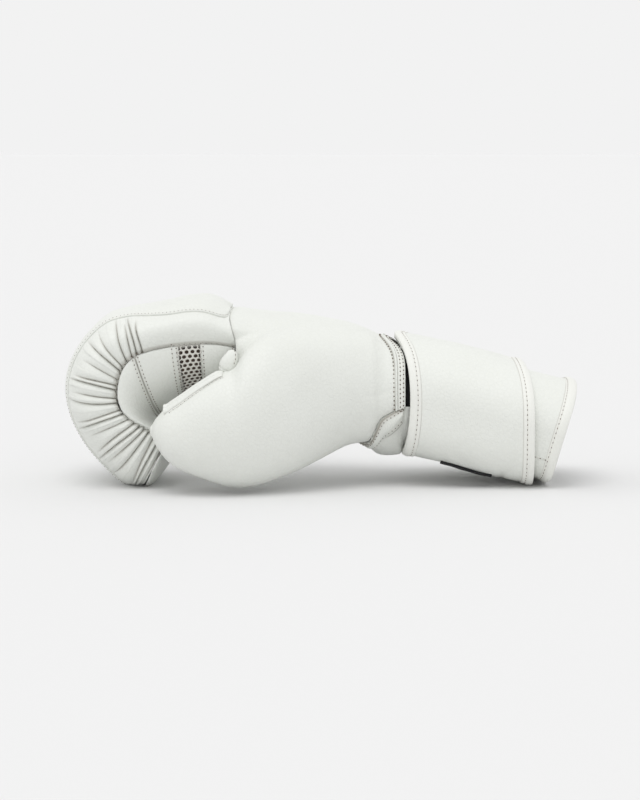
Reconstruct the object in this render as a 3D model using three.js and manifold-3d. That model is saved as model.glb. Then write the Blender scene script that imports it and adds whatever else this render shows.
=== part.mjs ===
// A right-hand boxing bag glove lying palm down: a curled, padded fist with gathered sides,
// one leather shell over the hand and the thumb, and a cuff closed by a wide wrist strap.
// Millimetres, +Z up. The fingers point along -X, the cuff opens towards +X and the thumb lies
// on the -Y side. The origin is on the floor under the middle of the glove.
import * as THREE from "three";
import { mergeVertices } from "three/addons/utils/BufferGeometryUtils.js";
import Module from "manifold-3d";

const wasm = await Module();
wasm.setup();

// Driving sizes of the whole glove.
const gloveHeight = 111; // floor to the top of the knuckles
const webX = -49; // the plane where the fist meets the hand, at the root of the thumb

// Driving sizes of the fist.
const fistLength = 102; // web plane to the front of the knuckles
const fistWidth = 112; // thumb side to outer side
const facePadThickness = 22;
const sidePadThickness = 13;
const panelThickness = 3.5; // the leather and thin padding that faces the palm
const seamTuck = 5; // how far the sides are drawn in where they meet the palm panels
const pleatCount = 20;
const pleatDepth = 3;
const fingertipRound = 5; // how far the closed end of the finger roll bulges

// Driving sizes of the hand and the thumb.
const handLength = 99; // web plane to the wrist edge
const wristWidth = 76;
const backPadThickness = 22;
const sideWall = 7;
const thumbReach = 48.5; // web plane to the tip of the thumb
const thumbThickness = 56;
const thumbPadThickness = 12;
const weltRadius = 1.7;
const webRadius = 3.2;
const foldWidth = 12;
const foldThickness = 6;
const wristBindingWidth = 7;
const wristBindingThickness = 1.8;

// Driving sizes of the cuff and the strap.
const wristEdge = webX + handLength;
const cuffInset = 8; // wrist edge to the front end of the cuff, under the strap
const cuffLength = 83; // to the middle of the slanting cuff opening
const cuffStart = wristEdge + cuffInset;
const cuffEnd = cuffStart + cuffLength;
const cuffSlant = 12; // how much further the opening reaches at the top, and less at the bottom
const cuffWidth = 90; // across the opening
const cuffWall = 4;
const strapLap = 1.3; // how far the strap reaches over the wrist edge
const strapWidth = 70.8;
const strapFront = wristEdge - strapLap;
const strapRear = strapFront + strapWidth;
const strapThickness = 3;
const bindingWidth = 8;
const bindingThickness = 5;
const sleeveWall = 1.6;
const sleeveLength = 40;
const sleeveEase = 8; // length in which it widens from the hand's hollow to the cuff's
const labelLength = 30;
const labelWidth = 12;
const labelThickness = 0.6;
const labelShift = 3; // from the middle of the strap towards the opening

// Clearance between neighbouring pieces.
const gap = 0.4;

// The fist in side view, from the web plane round the knuckles to the fingertips. X columns are
// shares of fistLength ahead of the web plane, Z columns shares of gloveHeight above the floor:
// the outer line, the gathered seam on each side, and the deepest line of the palm side.
// width is the share of fistWidth there.
const fistSections = [
  { outX: 0.0, outZ: 0.928, seamX: 0.0, seamZ: 0.757, deepX: 0.0, deepZ: 0.468, width: 0.95 },
  { outX: 0.127, outZ: 0.99, seamX: 0.118, seamZ: 0.775, deepX: 0.118, deepZ: 0.459, width: 0.97 },
  { outX: 0.265, outZ: 1.0, seamX: 0.255, seamZ: 0.775, deepX: 0.235, deepZ: 0.45, width: 0.985 },
  { outX: 0.42, outZ: 0.986, seamX: 0.392, seamZ: 0.761, deepX: 0.343, deepZ: 0.45, width: 1.0 },
  { outX: 0.569, outZ: 0.946, seamX: 0.5, seamZ: 0.739, deepX: 0.412, deepZ: 0.45, width: 1.0 },
  { outX: 0.696, outZ: 0.892, seamX: 0.574, seamZ: 0.712, deepX: 0.451, deepZ: 0.441, width: 1.0 },
  { outX: 0.814, outZ: 0.82, seamX: 0.627, seamZ: 0.667, deepX: 0.471, deepZ: 0.432, width: 1.0 },
  { outX: 0.912, outZ: 0.721, seamX: 0.657, seamZ: 0.613, deepX: 0.48, deepZ: 0.419, width: 1.0 },
  { outX: 0.98, outZ: 0.613, seamX: 0.672, seamZ: 0.55, deepX: 0.483, deepZ: 0.405, width: 1.0 },
  { outX: 1.0, outZ: 0.505, seamX: 0.672, seamZ: 0.491, deepX: 0.48, deepZ: 0.392, width: 1.0 },
  { outX: 0.98, outZ: 0.387, seamX: 0.652, seamZ: 0.437, deepX: 0.471, deepZ: 0.378, width: 0.99 },
  { outX: 0.931, outZ: 0.279, seamX: 0.618, seamZ: 0.392, deepX: 0.456, deepZ: 0.363, width: 0.97 },
  { outX: 0.863, outZ: 0.18, seamX: 0.569, seamZ: 0.351, deepX: 0.436, deepZ: 0.342, width: 0.945 },
  { outX: 0.755, outZ: 0.074, seamX: 0.515, seamZ: 0.306, deepX: 0.402, deepZ: 0.311, width: 0.91 },
  { outX: 0.627, outZ: -0.01, seamX: 0.466, seamZ: 0.252, deepX: 0.363, deepZ: 0.27, width: 0.87 },
  { outX: 0.51, outZ: -0.018, seamX: 0.415, seamZ: 0.198, deepX: 0.333, deepZ: 0.23, width: 0.82 },
];
const lastFistSection = fistSections.length - 1;

// Where the palm-side panels meet, counted in fist sections.
const panelBreaks = {
  web_panel: { from: 0, to: 1.5, rows: 3 },
  mesh_panel: { from: 1.5, to: 2.6, rows: 2 },
  finger_panel: { from: 2.6, to: 4.7, rows: 4 },
  fingertip_panel: { from: 4.7, to: lastFistSection, rows: 14 },
};

// The stitched edge of the face pad, as a share of the way round from the middle of the outside
// to the gathered seam, against the fist section. It narrows towards the fingertips.
const faceEdge = [
  { section: 0, share: 0.25 },
  { section: 0.12, share: 0.42 },
  { section: 0.35, share: 0.53 },
  { section: 0.8, share: 0.59 },
  { section: 2, share: 0.6 },
  { section: 9, share: 0.6 },
  { section: 12, share: 0.42 },
  { section: lastFistSection, share: 0.3 },
];

// The pleats repeat this small cycle of reach (share of the side's width) and depth.
const pleatCycle = [
  { reach: 0.62, depth: 1.0 },
  { reach: 0.8, depth: 0.75 },
  { reach: 0.55, depth: 0.95 },
  { reach: 0.9, depth: 0.8 },
  { reach: 0.68, depth: 0.6 },
];
const pleatsFrom = 0.36; // share of the gathered seam where the first pleat lies

// The hand from the web plane to the wrist edge: at is a share of handLength, top and bottom are
// shares of gloveHeight, toWrist blends the width from the fist's to the wrist's, pad is a share
// of backPadThickness and wall a share of sideWall. The shell's lower edges on the thumb side
// and the outer side are angles round the section, from +Y over the top.
const handSections = [
  { at: 0.0, top: 0.925, bottom: 0.468, toWrist: 0.0, pad: 1.0, wall: 1.0, thumbEdge: 245, outerEdge: -32 },
  { at: 0.19, top: 0.914, bottom: 0.42, toWrist: 0.08, pad: 0.95, wall: 1.0, thumbEdge: 245, outerEdge: -32 },
  { at: 0.39, top: 0.896, bottom: 0.355, toWrist: 0.25, pad: 0.8, wall: 1.0, thumbEdge: 242, outerEdge: -32 },
  { at: 0.6, top: 0.865, bottom: 0.292, toWrist: 0.5, pad: 0.55, wall: 0.9, thumbEdge: 238, outerEdge: -32 },
  { at: 0.72, top: 0.838, bottom: 0.247, toWrist: 0.7, pad: 0.35, wall: 0.75, thumbEdge: 228, outerEdge: -32 },
  { at: 0.86, top: 0.8, bottom: 0.19, toWrist: 0.88, pad: 0.25, wall: 0.65, thumbEdge: 200, outerEdge: -22 },
  { at: 1.0, top: 0.755, bottom: 0.195, toWrist: 1.0, pad: 0.24, wall: 0.62, thumbEdge: 186, outerEdge: -10 },
];
const handShape = 2.35; // how square the hand's section is: 2 is an ellipse
const wristDip = 12; // how far the wrist edge dips towards the knuckles at the top
const frontWidthShare = 0.955; // width of the hand at the web plane as a share of fistWidth

// The thumb from its root in the hand to its tip. ahead is a share of thumbReach in front of the
// web plane and behind a share of handLength behind it. low and high are shares of gloveHeight,
// inner is where its inner side lies as a share of half the fistWidth, thick a share of
// thumbThickness.
const thumbSections = [
  { ahead: 0, behind: 0.84, low: 0.262, high: 0.76, inner: 0.04, thick: 0.62 },
  { ahead: 0, behind: 0.66, low: 0.222, high: 0.79, inner: 0.143, thick: 0.77 },
  { ahead: 0, behind: 0.49, low: 0.153, high: 0.815, inner: 0.25, thick: 0.888 },
  { ahead: 0, behind: 0.34, low: 0.095, high: 0.83, inner: 0.357, thick: 0.96 },
  { ahead: 0, behind: 0.19, low: 0.05, high: 0.82, inner: 0.446, thick: 0.99 },
  { ahead: 0, behind: 0.07, low: 0.029, high: 0.76, inner: 0.5, thick: 0.99 },
  { ahead: 0.02, behind: 0, low: 0.03, high: 0.66, inner: 0.554, thick: 0.955 },
  { ahead: 0.185, behind: 0, low: 0.048, high: 0.635, inner: 0.643, thick: 0.875 },
  { ahead: 0.41, behind: 0, low: 0.086, high: 0.577, inner: 0.732, thick: 0.777 },
  { ahead: 0.62, behind: 0, low: 0.126, high: 0.514, inner: 0.804, thick: 0.66 },
  { ahead: 0.8, behind: 0, low: 0.18, high: 0.459, inner: 0.866, thick: 0.536 },
  { ahead: 0.93, behind: 0, low: 0.252, high: 0.4, inner: 0.955, thick: 0.33 },
  { ahead: 0.985, behind: 0, low: 0.3, high: 0.362, inner: 1.02, thick: 0.15 },
];
const weltSections = { from: 7.1, to: 10.3 }; // thumb sections that the welt runs between

// The cuff under the strap: at is a share of the way from cuffStart to the far reach of the
// opening, top and bottom are shares of gloveHeight and width a share of cuffWidth.
const cuffSections = [
  { at: -0.13, top: 0.759, bottom: 0.2, width: 0.85 },
  { at: 0.12, top: 0.721, bottom: 0.157, width: 0.88 },
  { at: 0.38, top: 0.673, bottom: 0.094, width: 0.93 },
  { at: 0.64, top: 0.613, bottom: 0.05, width: 0.97 },
  { at: 1.0, top: 0.556, bottom: -0.035, width: 1.0 },
];
const cuffShape = 2.2;
const cuffLowShape = 3.8; // squarer below, where its weight rests
const openingBow = 4; // how much further the cuff opening reaches at its two sides
const strapFrontEdge = { lean: 0, bow: 4 }; // strap edges: reach at the top, and at the sides
const strapRearEdge = { lean: -6.5, bow: 4.5 };
const strapStartAngle = 40; // the sewn end, on the outer side of the wrist
const strapSweep = 430; // degrees from the sewn end under the wrist, round and over to the free end
const overlapRamp = 45; // degrees in which the strap climbs onto its own sewn end
const labelAngle = 248;

const radians = Math.PI / 180;
const lerp = (a, b, share) => a + (b - a) * share;

// A value between the rows of a table, smooth at the rows. position counts rows.
function between(rows, column, position) {
  const i = Math.min(Math.max(Math.floor(position), 0), rows.length - 2);
  const f = position - i;
  const value = (k) => rows[Math.min(Math.max(k, 0), rows.length - 1)][column];
  const [a, b, c, d] = [value(i - 1), value(i), value(i + 1), value(i + 2)];
  return b + 0.5 * f * (c - a + f * (2 * a - 5 * b + 4 * c - d + f * (3 * (b - c) + d - a)));
}

// The row position in a table at which its key column reaches a value.
function rowAt(rows, key, wanted) {
  let i = 0;
  while (i < rows.length - 2 && rows[i + 1][key] < wanted) i += 1;
  return i + (wanted - rows[i][key]) / (rows[i + 1][key] - rows[i][key]);
}

const onFloor = (point) => point.setZ(Math.max(point.z, 0));

// Six times the volume inside a set of triangles: negative if they face inwards.
function sixVolumes(points, triangles) {
  let sum = 0;
  for (let k = 0; k < triangles.length; k += 3) {
    const [a, b, c] = [0, 1, 2].map((n) => points[triangles[k + n]]);
    sum += a.dot(new THREE.Vector3().crossVectors(b, c));
  }
  return sum;
}

// A geometry from the points and triangles of a closed body, turned so that its faces look out.
function geometryOf(points, triangles) {
  if (sixVolumes(points, triangles) < 0) triangles.reverse();
  const geometry = new THREE.BufferGeometry().setFromPoints(points);
  geometry.setIndex(triangles);
  geometry.computeVertexNormals();
  return geometry;
}

// A closed plate between an outside and an inside grid of points, i along and j across. With
// closed set, the last column joins the first.
function plate(along, across, outside, inside, closed = false) {
  const columns = closed ? across : across + 1;
  const points = [];
  for (const side of [outside, inside])
    for (let i = 0; i <= along; i += 1)
      for (let j = 0; j < columns; j += 1) points.push(side(i / along, j / across));
  const triangles = [];
  const at = (side, i, j) => side * (along + 1) * columns + i * columns + (j % columns);
  const quad = (a, b, c, d) => triangles.push(a, b, c, a, c, d);
  for (let i = 0; i < along; i += 1)
    for (let j = 0; j < across; j += 1) {
      quad(at(0, i, j), at(0, i + 1, j), at(0, i + 1, j + 1), at(0, i, j + 1));
      quad(at(1, i, j), at(1, i, j + 1), at(1, i + 1, j + 1), at(1, i + 1, j));
    }
  for (let j = 0; j < across; j += 1) {
    quad(at(0, 0, j), at(0, 0, j + 1), at(1, 0, j + 1), at(1, 0, j));
    quad(at(0, along, j), at(1, along, j), at(1, along, j + 1), at(0, along, j + 1));
  }
  if (!closed)
    for (let i = 0; i < along; i += 1) {
      quad(at(0, i, 0), at(1, i, 0), at(1, i + 1, 0), at(0, i + 1, 0));
      quad(at(0, i, across), at(0, i + 1, across), at(1, i + 1, across), at(1, i, across));
    }
  return geometryOf(points, triangles);
}

// A plate whose inside is ruled straight across, so that only its outside carries detail.
function ruledPlate(along, across, outside, inside) {
  const points = [];
  for (let i = 0; i <= along; i += 1) {
    for (let j = 0; j <= across; j += 1) points.push(outside(i / along, j / across));
    points.push(inside(i / along, 0), inside(i / along, 1));
  }
  const row = across + 3;
  const triangles = [];
  const quad = (a, b, c, d) => triangles.push(a, b, c, a, c, d);
  for (let i = 0; i < along; i += 1) {
    const [here, next] = [i * row, (i + 1) * row];
    const [low, high] = [across + 1, across + 2];
    for (let j = 0; j < across; j += 1) quad(here + j, next + j, next + j + 1, here + j + 1);
    quad(here + low, here + high, next + high, next + low);
    quad(here, here + low, next + low, next);
    quad(here + across, next + across, next + high, here + high);
  }
  for (const [start, turn] of [[0, 1], [along * row, -1]]) {
    const face = (a, b, c) => triangles.push(start + a, start + (turn > 0 ? b : c), start + (turn > 0 ? c : b));
    for (let j = 0; j < across; j += 1) face(j, j + 1, across + 1);
    face(across, across + 2, across + 1);
  }
  return geometryOf(points, triangles);
}

// A closed body lofted through rings of points, with a flat fan on each end.
function loft(rings) {
  const around = rings[0].length;
  const points = rings.flat();
  const triangles = [];
  for (let i = 0; i < rings.length - 1; i += 1)
    for (let j = 0; j < around; j += 1) {
      const [a, b] = [i * around + j, i * around + ((j + 1) % around)];
      triangles.push(a, a + around, b + around, a, b + around, b);
    }
  for (const [ring, turn] of [[0, 1], [rings.length - 1, -1]]) {
    const centre = rings[ring].reduce((sum, p) => sum.add(p), new THREE.Vector3()).divideScalar(around);
    const middle = points.push(centre) - 1;
    for (let j = 0; j < around; j += 1) {
      const [a, b] = [ring * around + j, ring * around + ((j + 1) % around)];
      if (turn > 0) triangles.push(middle, a, b);
      else triangles.push(middle, b, a);
    }
  }
  return geometryOf(points, triangles);
}

// A geometry as a solid that can be joined and cut, and back.
function solidOf(geometry) {
  const bare = new THREE.BufferGeometry().setAttribute("position", geometry.getAttribute("position"));
  bare.setIndex(geometry.getIndex());
  const merged = mergeVertices(bare, 1e-4);
  const made = new wasm.Manifold(
    new wasm.Mesh({
      numProp: 3,
      vertProperties: new Float32Array(merged.getAttribute("position").array),
      triVerts: new Uint32Array(merged.getIndex().array),
    }),
  );
  return made;
}

function geometryFrom(solid) {
  const mesh = solid.getMesh();
  const points = [];
  for (let i = 0; i < mesh.numVert; i += 1)
    points.push(new THREE.Vector3().fromArray(mesh.vertProperties, i * mesh.numProp));
  return geometryOf(points, [...mesh.triVerts]);
}

// One ring of a superellipse in a plane of constant X. Angles run from +Y over the top. The lower
// half may be squarer than the upper one.
function ringPoint(section, degrees, inset = 0) {
  const [c, s] = [Math.cos(degrees * radians), Math.sin(degrees * radians)];
  const power = 2 / (s < 0 ? section.lowShape : section.shape);
  const reach = (value, size) => Math.sign(value) * Math.abs(value) ** power * size;
  return new THREE.Vector3(
    section.x,
    section.y + reach(c, section.halfWidth - inset),
    section.z + reach(s, section.halfHeight - inset),
  );
}

// The fist: points on its outside and on the finger pocket inside it.

// Lines of the side view at a fist section position: the outer, seam and deep points.
function fistLines(position) {
  const point = (name) =>
    new THREE.Vector3(
      webX - between(fistSections, name + "X", position) * fistLength,
      0,
      between(fistSections, name + "Z", position) * gloveHeight,
    );
  const halfWidth = (between(fistSections, "width", position) * fistWidth) / 2;
  return { out: point("out"), seam: point("seam"), deep: point("deep"), halfWidth };
}

// A point round the fist's section: share 0 is the middle of the outside, 1 the gathered seam and
// 2 the middle of the palm side. side is -1 on the thumb side and 1 on the outer side.
const sideShape = 2.9;
function fistPoint(position, share, side) {
  const { out, seam, deep, halfWidth } = fistLines(position);
  const seamWidth = halfWidth - seamTuck;
  if (share <= 1) {
    const angle = (share * Math.PI) / 2;
    const across = Math.sin(angle) ** (2 / sideShape) * halfWidth;
    const tuck = seamTuck * Math.max(0, (share - 0.7) / 0.3) ** 1.5;
    const depth = 1 - Math.max(Math.cos(angle), 0) ** (2 / sideShape);
    return out.clone().lerp(seam, depth).setY(side * (across - tuck));
  }
  const angle = ((share - 1) * Math.PI) / 2;
  return seam.clone().lerp(deep, Math.sin(angle)).setY(side * seamWidth * Math.cos(angle));
}

// The pocket for the fingers inside the fist, in the same terms.
const pocketShape = 2.4;
function pocketPoint(position, share, side) {
  const { out, seam, deep, halfWidth } = fistLines(position);
  const roof = out.clone().lerp(seam, Math.min(facePadThickness / out.distanceTo(seam), 1.05));
  const floor = deep.clone().lerp(seam, panelThickness / deep.distanceTo(seam));
  const middle = roof.clone().lerp(floor, 0.4);
  const pocketWidth = halfWidth - sidePadThickness;
  const angle = (share * Math.PI) / 2;
  const across = Math.max(Math.sin(angle), 0) ** (2 / pocketShape) * pocketWidth * side;
  if (share <= 1) {
    const depth = 1 - Math.max(Math.cos(angle), 0) ** (2 / pocketShape);
    return roof.lerp(middle, depth).setY(across);
  }
  return middle.lerp(floor, -Math.cos(angle)).setY(across);
}

// The share of the way round at which the face pad's stitched edge lies.
const faceShare = (position) => between(faceEdge, "share", rowAt(faceEdge, "section", position));

// The narrow gap between two pieces, turned into a share of the way round the fist.
const gapShare = gap / (fistWidth / 2);

const material = (color, roughness = 0.55) =>
  new THREE.MeshStandardMaterial({ color, roughness, metalness: 0 });
const whiteLeather = material(0xf1f0ec);
const bindingTape = material(0xf3f1ec, 0.65);
const meshFabric = material(0xdedbd6, 0.8);
const blackFabric = material(0x0b0b0c, 0.85);

const glove = new THREE.Group();
function add(name, geometry, look) {
  const mesh = new THREE.Mesh(geometry, look);
  mesh.name = name;
  glove.add(mesh);
}

// Face pad: the thick padded panel over the knuckles and fingers.
const evenFaceRows = 15;
const faceColumns = 10;
// The pad's rounded corners and the sides that meet them have rows at the same sections.
const cornerEnd = 2;
const cornerRows = faceEdge.map((row) => row.section).filter((section) => section <= cornerEnd);
const faceRows = [...cornerRows];
for (let k = 1; k <= evenFaceRows; k += 1) faceRows.push(lerp(cornerEnd, lastFistSection, k / evenFaceRows));
const lastFaceRow = faceRows.length - 1;
function faceGrid(surface) {
  return (i, j) => {
    const position = faceRows[Math.round(i * lastFaceRow)];
    const share = (2 * j - 1) * (faceShare(position) - gapShare);
    return onFloor(surface(position, Math.abs(share), Math.sign(share) || 1));
  };
}
add("face_pad", plate(lastFaceRow, faceColumns, faceGrid(fistPoint), faceGrid(pocketPoint)), whiteLeather);

// Rows of the gathered sides: coarse before the pleats, then a valley and two ridge rows for each.
function seamLengthTable() {
  const steps = 120;
  const rows = [{ position: 0, length: 0 }];
  for (let k = 1; k <= steps; k += 1) {
    const position = (k / steps) * lastFistSection;
    const step = fistLines(position).seam.distanceTo(fistLines(rows[k - 1].position).seam);
    rows.push({ position, length: rows[k - 1].length + step });
  }
  return rows;
}
const seamLengths = seamLengthTable();
const seamLength = seamLengths[seamLengths.length - 1].length;
const positionAtSeam = (share) =>
  between(seamLengths, "position", rowAt(seamLengths, "length", share * seamLength));

function gatherRows() {
  const rows = cornerRows.map((position) => ({ position, depth: 0, reach: 1 }));
  const plainRows = 4;
  for (let k = 1; k < plainRows; k += 1)
    rows.push({
      position: lerp(cornerEnd, positionAtSeam(pleatsFrom), k / plainRows),
      depth: 0,
      reach: 1,
    });
  const pitch = (1 - pleatsFrom) / pleatCount;
  for (let k = 0; k < pleatCount; k += 1) {
    const { reach, depth } = pleatCycle[k % pleatCycle.length];
    for (const [offset, fall] of [[0, 0], [0.38, 1], [0.72, 0.15]])
      rows.push({ position: positionAtSeam(pleatsFrom + (k + offset) * pitch), depth: depth * fall, reach });
  }
  rows.push({ position: lastFistSection, depth: 0, reach: 1 });
  return rows;
}

// Gathered sides: the panels between the face pad and the palm side, pleated at the seam.
const gatherColumns = 6;
function gatherSide(side) {
  const rows = gatherRows();
  const last = rows.length - 1;
  const share = (position, j) => lerp(faceShare(position) + gapShare, 1 - 2.5 * gapShare, j);
  const outside = (i, j) => {
    const { position, depth, reach } = rows[Math.round(i * last)];
    const point = fistPoint(position, share(position, j), side);
    const fade = Math.max(0, 1 - (1 - j) / reach);
    const valley = pleatDepth * depth * Math.sin(Math.min(fade * 1.25, 1) * Math.PI * 0.5);
    const { out, seam } = fistLines(position);
    const inward = seam.sub(out).normalize().multiplyScalar(valley * 0.35);
    inward.y = -side * valley;
    return onFloor(point.add(inward));
  };
  const inside = (i, j) => {
    const { position } = rows[Math.round(i * last)];
    return onFloor(pocketPoint(position, share(position, j), side));
  };
  return ruledPlate(last, gatherColumns, outside, inside);
}
add("thumb_side_gather", gatherSide(-1), whiteLeather);
add("outer_side_gather", gatherSide(1), whiteLeather);

// Palm-side panels of the finger pocket, sewn edge to edge across the fingers.
const panelColumns = 10;
function palmSidePanel({ from, to, rows }) {
  const seamGap = gap / 14; // in fist sections, which lie about 14 mm apart at the web
  const first = from === 0 ? from : from + seamGap;
  const last = to === lastFistSection ? to : to - seamGap;
  const grid = (surface) => (i, j) => {
    const reach = 1 - 1.7 * gapShare;
    const around = 2 + (2 * j - 1) * reach;
    const side = around > 2 ? -1 : 1;
    return surface(lerp(first, last, i), around > 2 ? 4 - around : around, side);
  };
  return plate(rows, panelColumns, grid(fistPoint), grid(pocketPoint));
}
for (const [name, panel] of Object.entries(panelBreaks))
  add(name, palmSidePanel(panel), name === "mesh_panel" ? meshFabric : whiteLeather);

// Fingertip roll: the closed end of the fist.
function fingertipRoll() {
  const { out, deep } = fistLines(lastFistSection);
  const centre = out.clone().lerp(deep, 0.5);
  const lengthways = deep.clone().sub(out).normalize();
  const forward = new THREE.Vector3(lengthways.z, 0, -lengthways.x);
  const around = 20;
  const rings = [];
  const domeSteps = [0, 0.35, 0.65, 0.88];
  for (const step of domeSteps) {
    const shrink = Math.sqrt(1 - step ** 2);
    const ring = [];
    for (let j = 0; j < around; j += 1) {
      const turn = (4 * j) / around;
      const side = turn > 2 ? 1 : -1;
      const point = fistPoint(lastFistSection, turn > 2 ? 4 - turn : turn, side);
      point.sub(centre).multiplyScalar(shrink).add(centre);
      point.addScaledVector(forward, 2.3 * gap + fingertipRound * step);
      ring.push(onFloor(point));
    }
    rings.push(ring);
  }
  return loft(rings);
}
add("fingertip_roll", fingertipRoll(), whiteLeather);

// The hand: sections of its outside and of the hollow inside it.
function handSection(position) {
  const value = (column) => between(handSections, column, position);
  const [top, bottom] = [value("top") * gloveHeight, value("bottom") * gloveHeight];
  return {
    x: webX + gap + value("at") * (handLength - gap),
    y: 0,
    z: (top + bottom) / 2,
    halfWidth: lerp(fistWidth * frontWidthShare, wristWidth, value("toWrist")) / 2,
    halfHeight: (top - bottom) / 2,
    shape: handShape,
    lowShape: handShape,
    pad: value("pad") * backPadThickness,
    wall: value("wall") * sideWall,
    thumbEdge: value("thumbEdge"),
    outerEdge: value("outerEdge"),
  };
}

// The hollow leaves the back padding above it, the side walls, and the palm panel below it.
function hollowOf(section) {
  const [top, bottom] = [section.z + section.halfHeight, section.z - section.halfHeight];
  const [roof, floor] = [top - section.pad, bottom + panelThickness];
  return {
    ...section,
    z: (roof + floor) / 2,
    halfHeight: (roof - floor) / 2,
    halfWidth: section.halfWidth - section.wall,
  };
}

const lastHandSection = handSections.length - 1;
const handRows = 8;
const handColumns = 20;

// The wrist edge dips towards the knuckles over the back of the hand.
const dipAt = (degrees) => -wristDip * Math.max(Math.sin(degrees * radians), 0) ** 8;

function handPatch(columns, edges, surface) {
  return (i, j) => {
    const section = handSection(i * lastHandSection);
    const [from, to] = edges(section);
    const degrees = lerp(from, to, j);
    const point = ringPoint(surface(section), degrees);
    point.x += dipAt(degrees) * Math.max(0, i * lastHandSection - lastHandSection + 2) * 0.5;
    return point;
  };
}

const thumbShape = 2.15;
function thumbSection(position, clearance = 0) {
  const value = (column) => between(thumbSections, column, position);
  const [low, high] = [value("low") * gloveHeight, value("high") * gloveHeight];
  const inner = (-value("inner") * fistWidth) / 2;
  const thick = value("thick") * thumbThickness;
  return {
    x: webX - value("ahead") * thumbReach + value("behind") * handLength,
    y: inner - thick / 2,
    z: (low + high) / 2,
    halfWidth: thick / 2 + clearance,
    halfHeight: (high - low) / 2 + clearance,
    shape: thumbShape,
    lowShape: thumbShape,
  };
}

const thumbColumns = 20;
function sectionRing(section, columns, inset = 0) {
  return Array.from({ length: columns }, (_, j) => ringPoint(section, (360 * j) / columns, inset));
}

function thumbBody(clearance = 0) {
  return loft(thumbSections.map((_, k) => sectionRing(thumbSection(k, clearance), thumbColumns)));
}

// The thumb's hollow stops where the padding of the tip begins.
function thumbHollow() {
  const rings = [];
  for (let k = 0; k <= 9; k += 1)
    rings.push(sectionRing(thumbSection(k), thumbColumns - 6, thumbPadThickness * (k === 0 ? 1.2 : 1)));
  return loft(rings);
}

function handHollow() {
  const rings = [];
  const overrun = 4;
  const hollow = (position, shift) => {
    const section = hollowOf(handSection(position));
    return sectionRing({ ...section, x: section.x + shift }, handColumns);
  };
  rings.push(hollow(0, -overrun));
  for (let k = 0; k <= lastHandSection; k += 1) rings.push(hollow(k, 0));
  rings.push(hollow(lastHandSection, overrun));
  return loft(rings);
}

// Hand shell: the padded leather over the back of the hand and its two sides. The thumb shell
// carries it on round the thumb, with one hollow through both.
const shellEdges = (section) => [section.outerEdge, section.thumbEdge];
const handTube = plate(
  handRows,
  handColumns,
  handPatch(handColumns, shellEdges, (section) => section),
  handPatch(handColumns, shellEdges, hollowOf),
);
const largest = (solid) => solid.decompose().sort((a, b) => b.volume() - a.volume())[0];
const handShell = solidOf(handTube).subtract(solidOf(handHollow())).subtract(solidOf(thumbBody(gap)));
add("hand_shell", geometryFrom(largest(handShell)), whiteLeather);
const thumbShell = solidOf(thumbBody()).subtract(solidOf(handHollow())).subtract(solidOf(thumbHollow()));
add("thumb_shell", geometryFrom(largest(thumbShell)), whiteLeather);

// Palm panel: runs from the web plane under the hand and the wrist into the cuff.
const palmRows = 11;
const palmColumns = 8;
const palmEnd = wristEdge + cuffInset / 2; // under the strap, just short of the cuff
function palmGrid(surface) {
  return (i, j) => {
    const inHand = (palmRows - 1) / palmRows;
    const section = handSection(Math.min(i / inHand, 1) * lastHandSection);
    if (i > inHand + 1e-6) section.x = palmEnd;
    const edgeGap = (gap / section.halfWidth / radians) * 1.5;
    const degrees = lerp(section.thumbEdge + edgeGap, 360 + section.outerEdge - edgeGap, j);
    return ringPoint(surface(section), degrees);
  };
}
const palmPanel = solidOf(plate(palmRows, palmColumns, palmGrid((s) => s), palmGrid(hollowOf)));
add("palm_panel", geometryFrom(palmPanel.subtract(solidOf(thumbBody(gap)))), whiteLeather);

// Thumb welt: the piped seam along the top of the thumb.
function tubeAlong(points, radius, sides, steps) {
  const section = new THREE.Shape();
  section.absarc(0, 0, radius, 0, 2 * Math.PI);
  return new THREE.ExtrudeGeometry(section, {
    steps,
    curveSegments: sides / 2,
    bevelEnabled: false,
    extrudePath: new THREE.CatmullRomCurve3(points),
  });
}
function weltPath() {
  const points = [];
  const stops = 7;
  for (let k = 0; k <= stops; k += 1) {
    const section = thumbSection(lerp(weltSections.from, weltSections.to, k / stops));
    points.push(ringPoint(section, 90).add(new THREE.Vector3(0, 0, weltRadius * 0.4)));
  }
  return points;
}
const weltTube = tubeAlong(weltPath(), weltRadius, 8, 14);
weltTube.deleteAttribute("normal");
weltTube.deleteAttribute("uv");
const welt = solidOf(mergeVertices(weltTube, 1e-3)).subtract(solidOf(thumbBody(gap)));
add("thumb_welt", geometryFrom(largest(welt)), whiteLeather);

// Thumb web: the short leather roll that ties the thumb to the side of the hand.
function webPath() {
  const root = thumbSection(weltSections.from);
  const behind = thumbSection(weltSections.from - 0.7);
  const bottom = behind.z + behind.halfHeight + webRadius / 2 + gap;
  const side = (-fistWidth / 2) * fistSections[1].width - webRadius - gap;
  const top = fistSections[0].seamZ * gloveHeight - webRadius / 2;
  return [0, 0.35, 0.7, 1].map(
    (share) =>
      new THREE.Vector3(
        lerp(root.x + webRadius / 2, webX, share),
        side,
        lerp(bottom, top, Math.sin((share * Math.PI) / 2)),
      ),
  );
}
const webTube = tubeAlong(webPath(), webRadius, 10, 8);
webTube.deleteAttribute("normal");
webTube.deleteAttribute("uv");
add("thumb_web", mergeVertices(webTube, 1e-3), whiteLeather);

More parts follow.
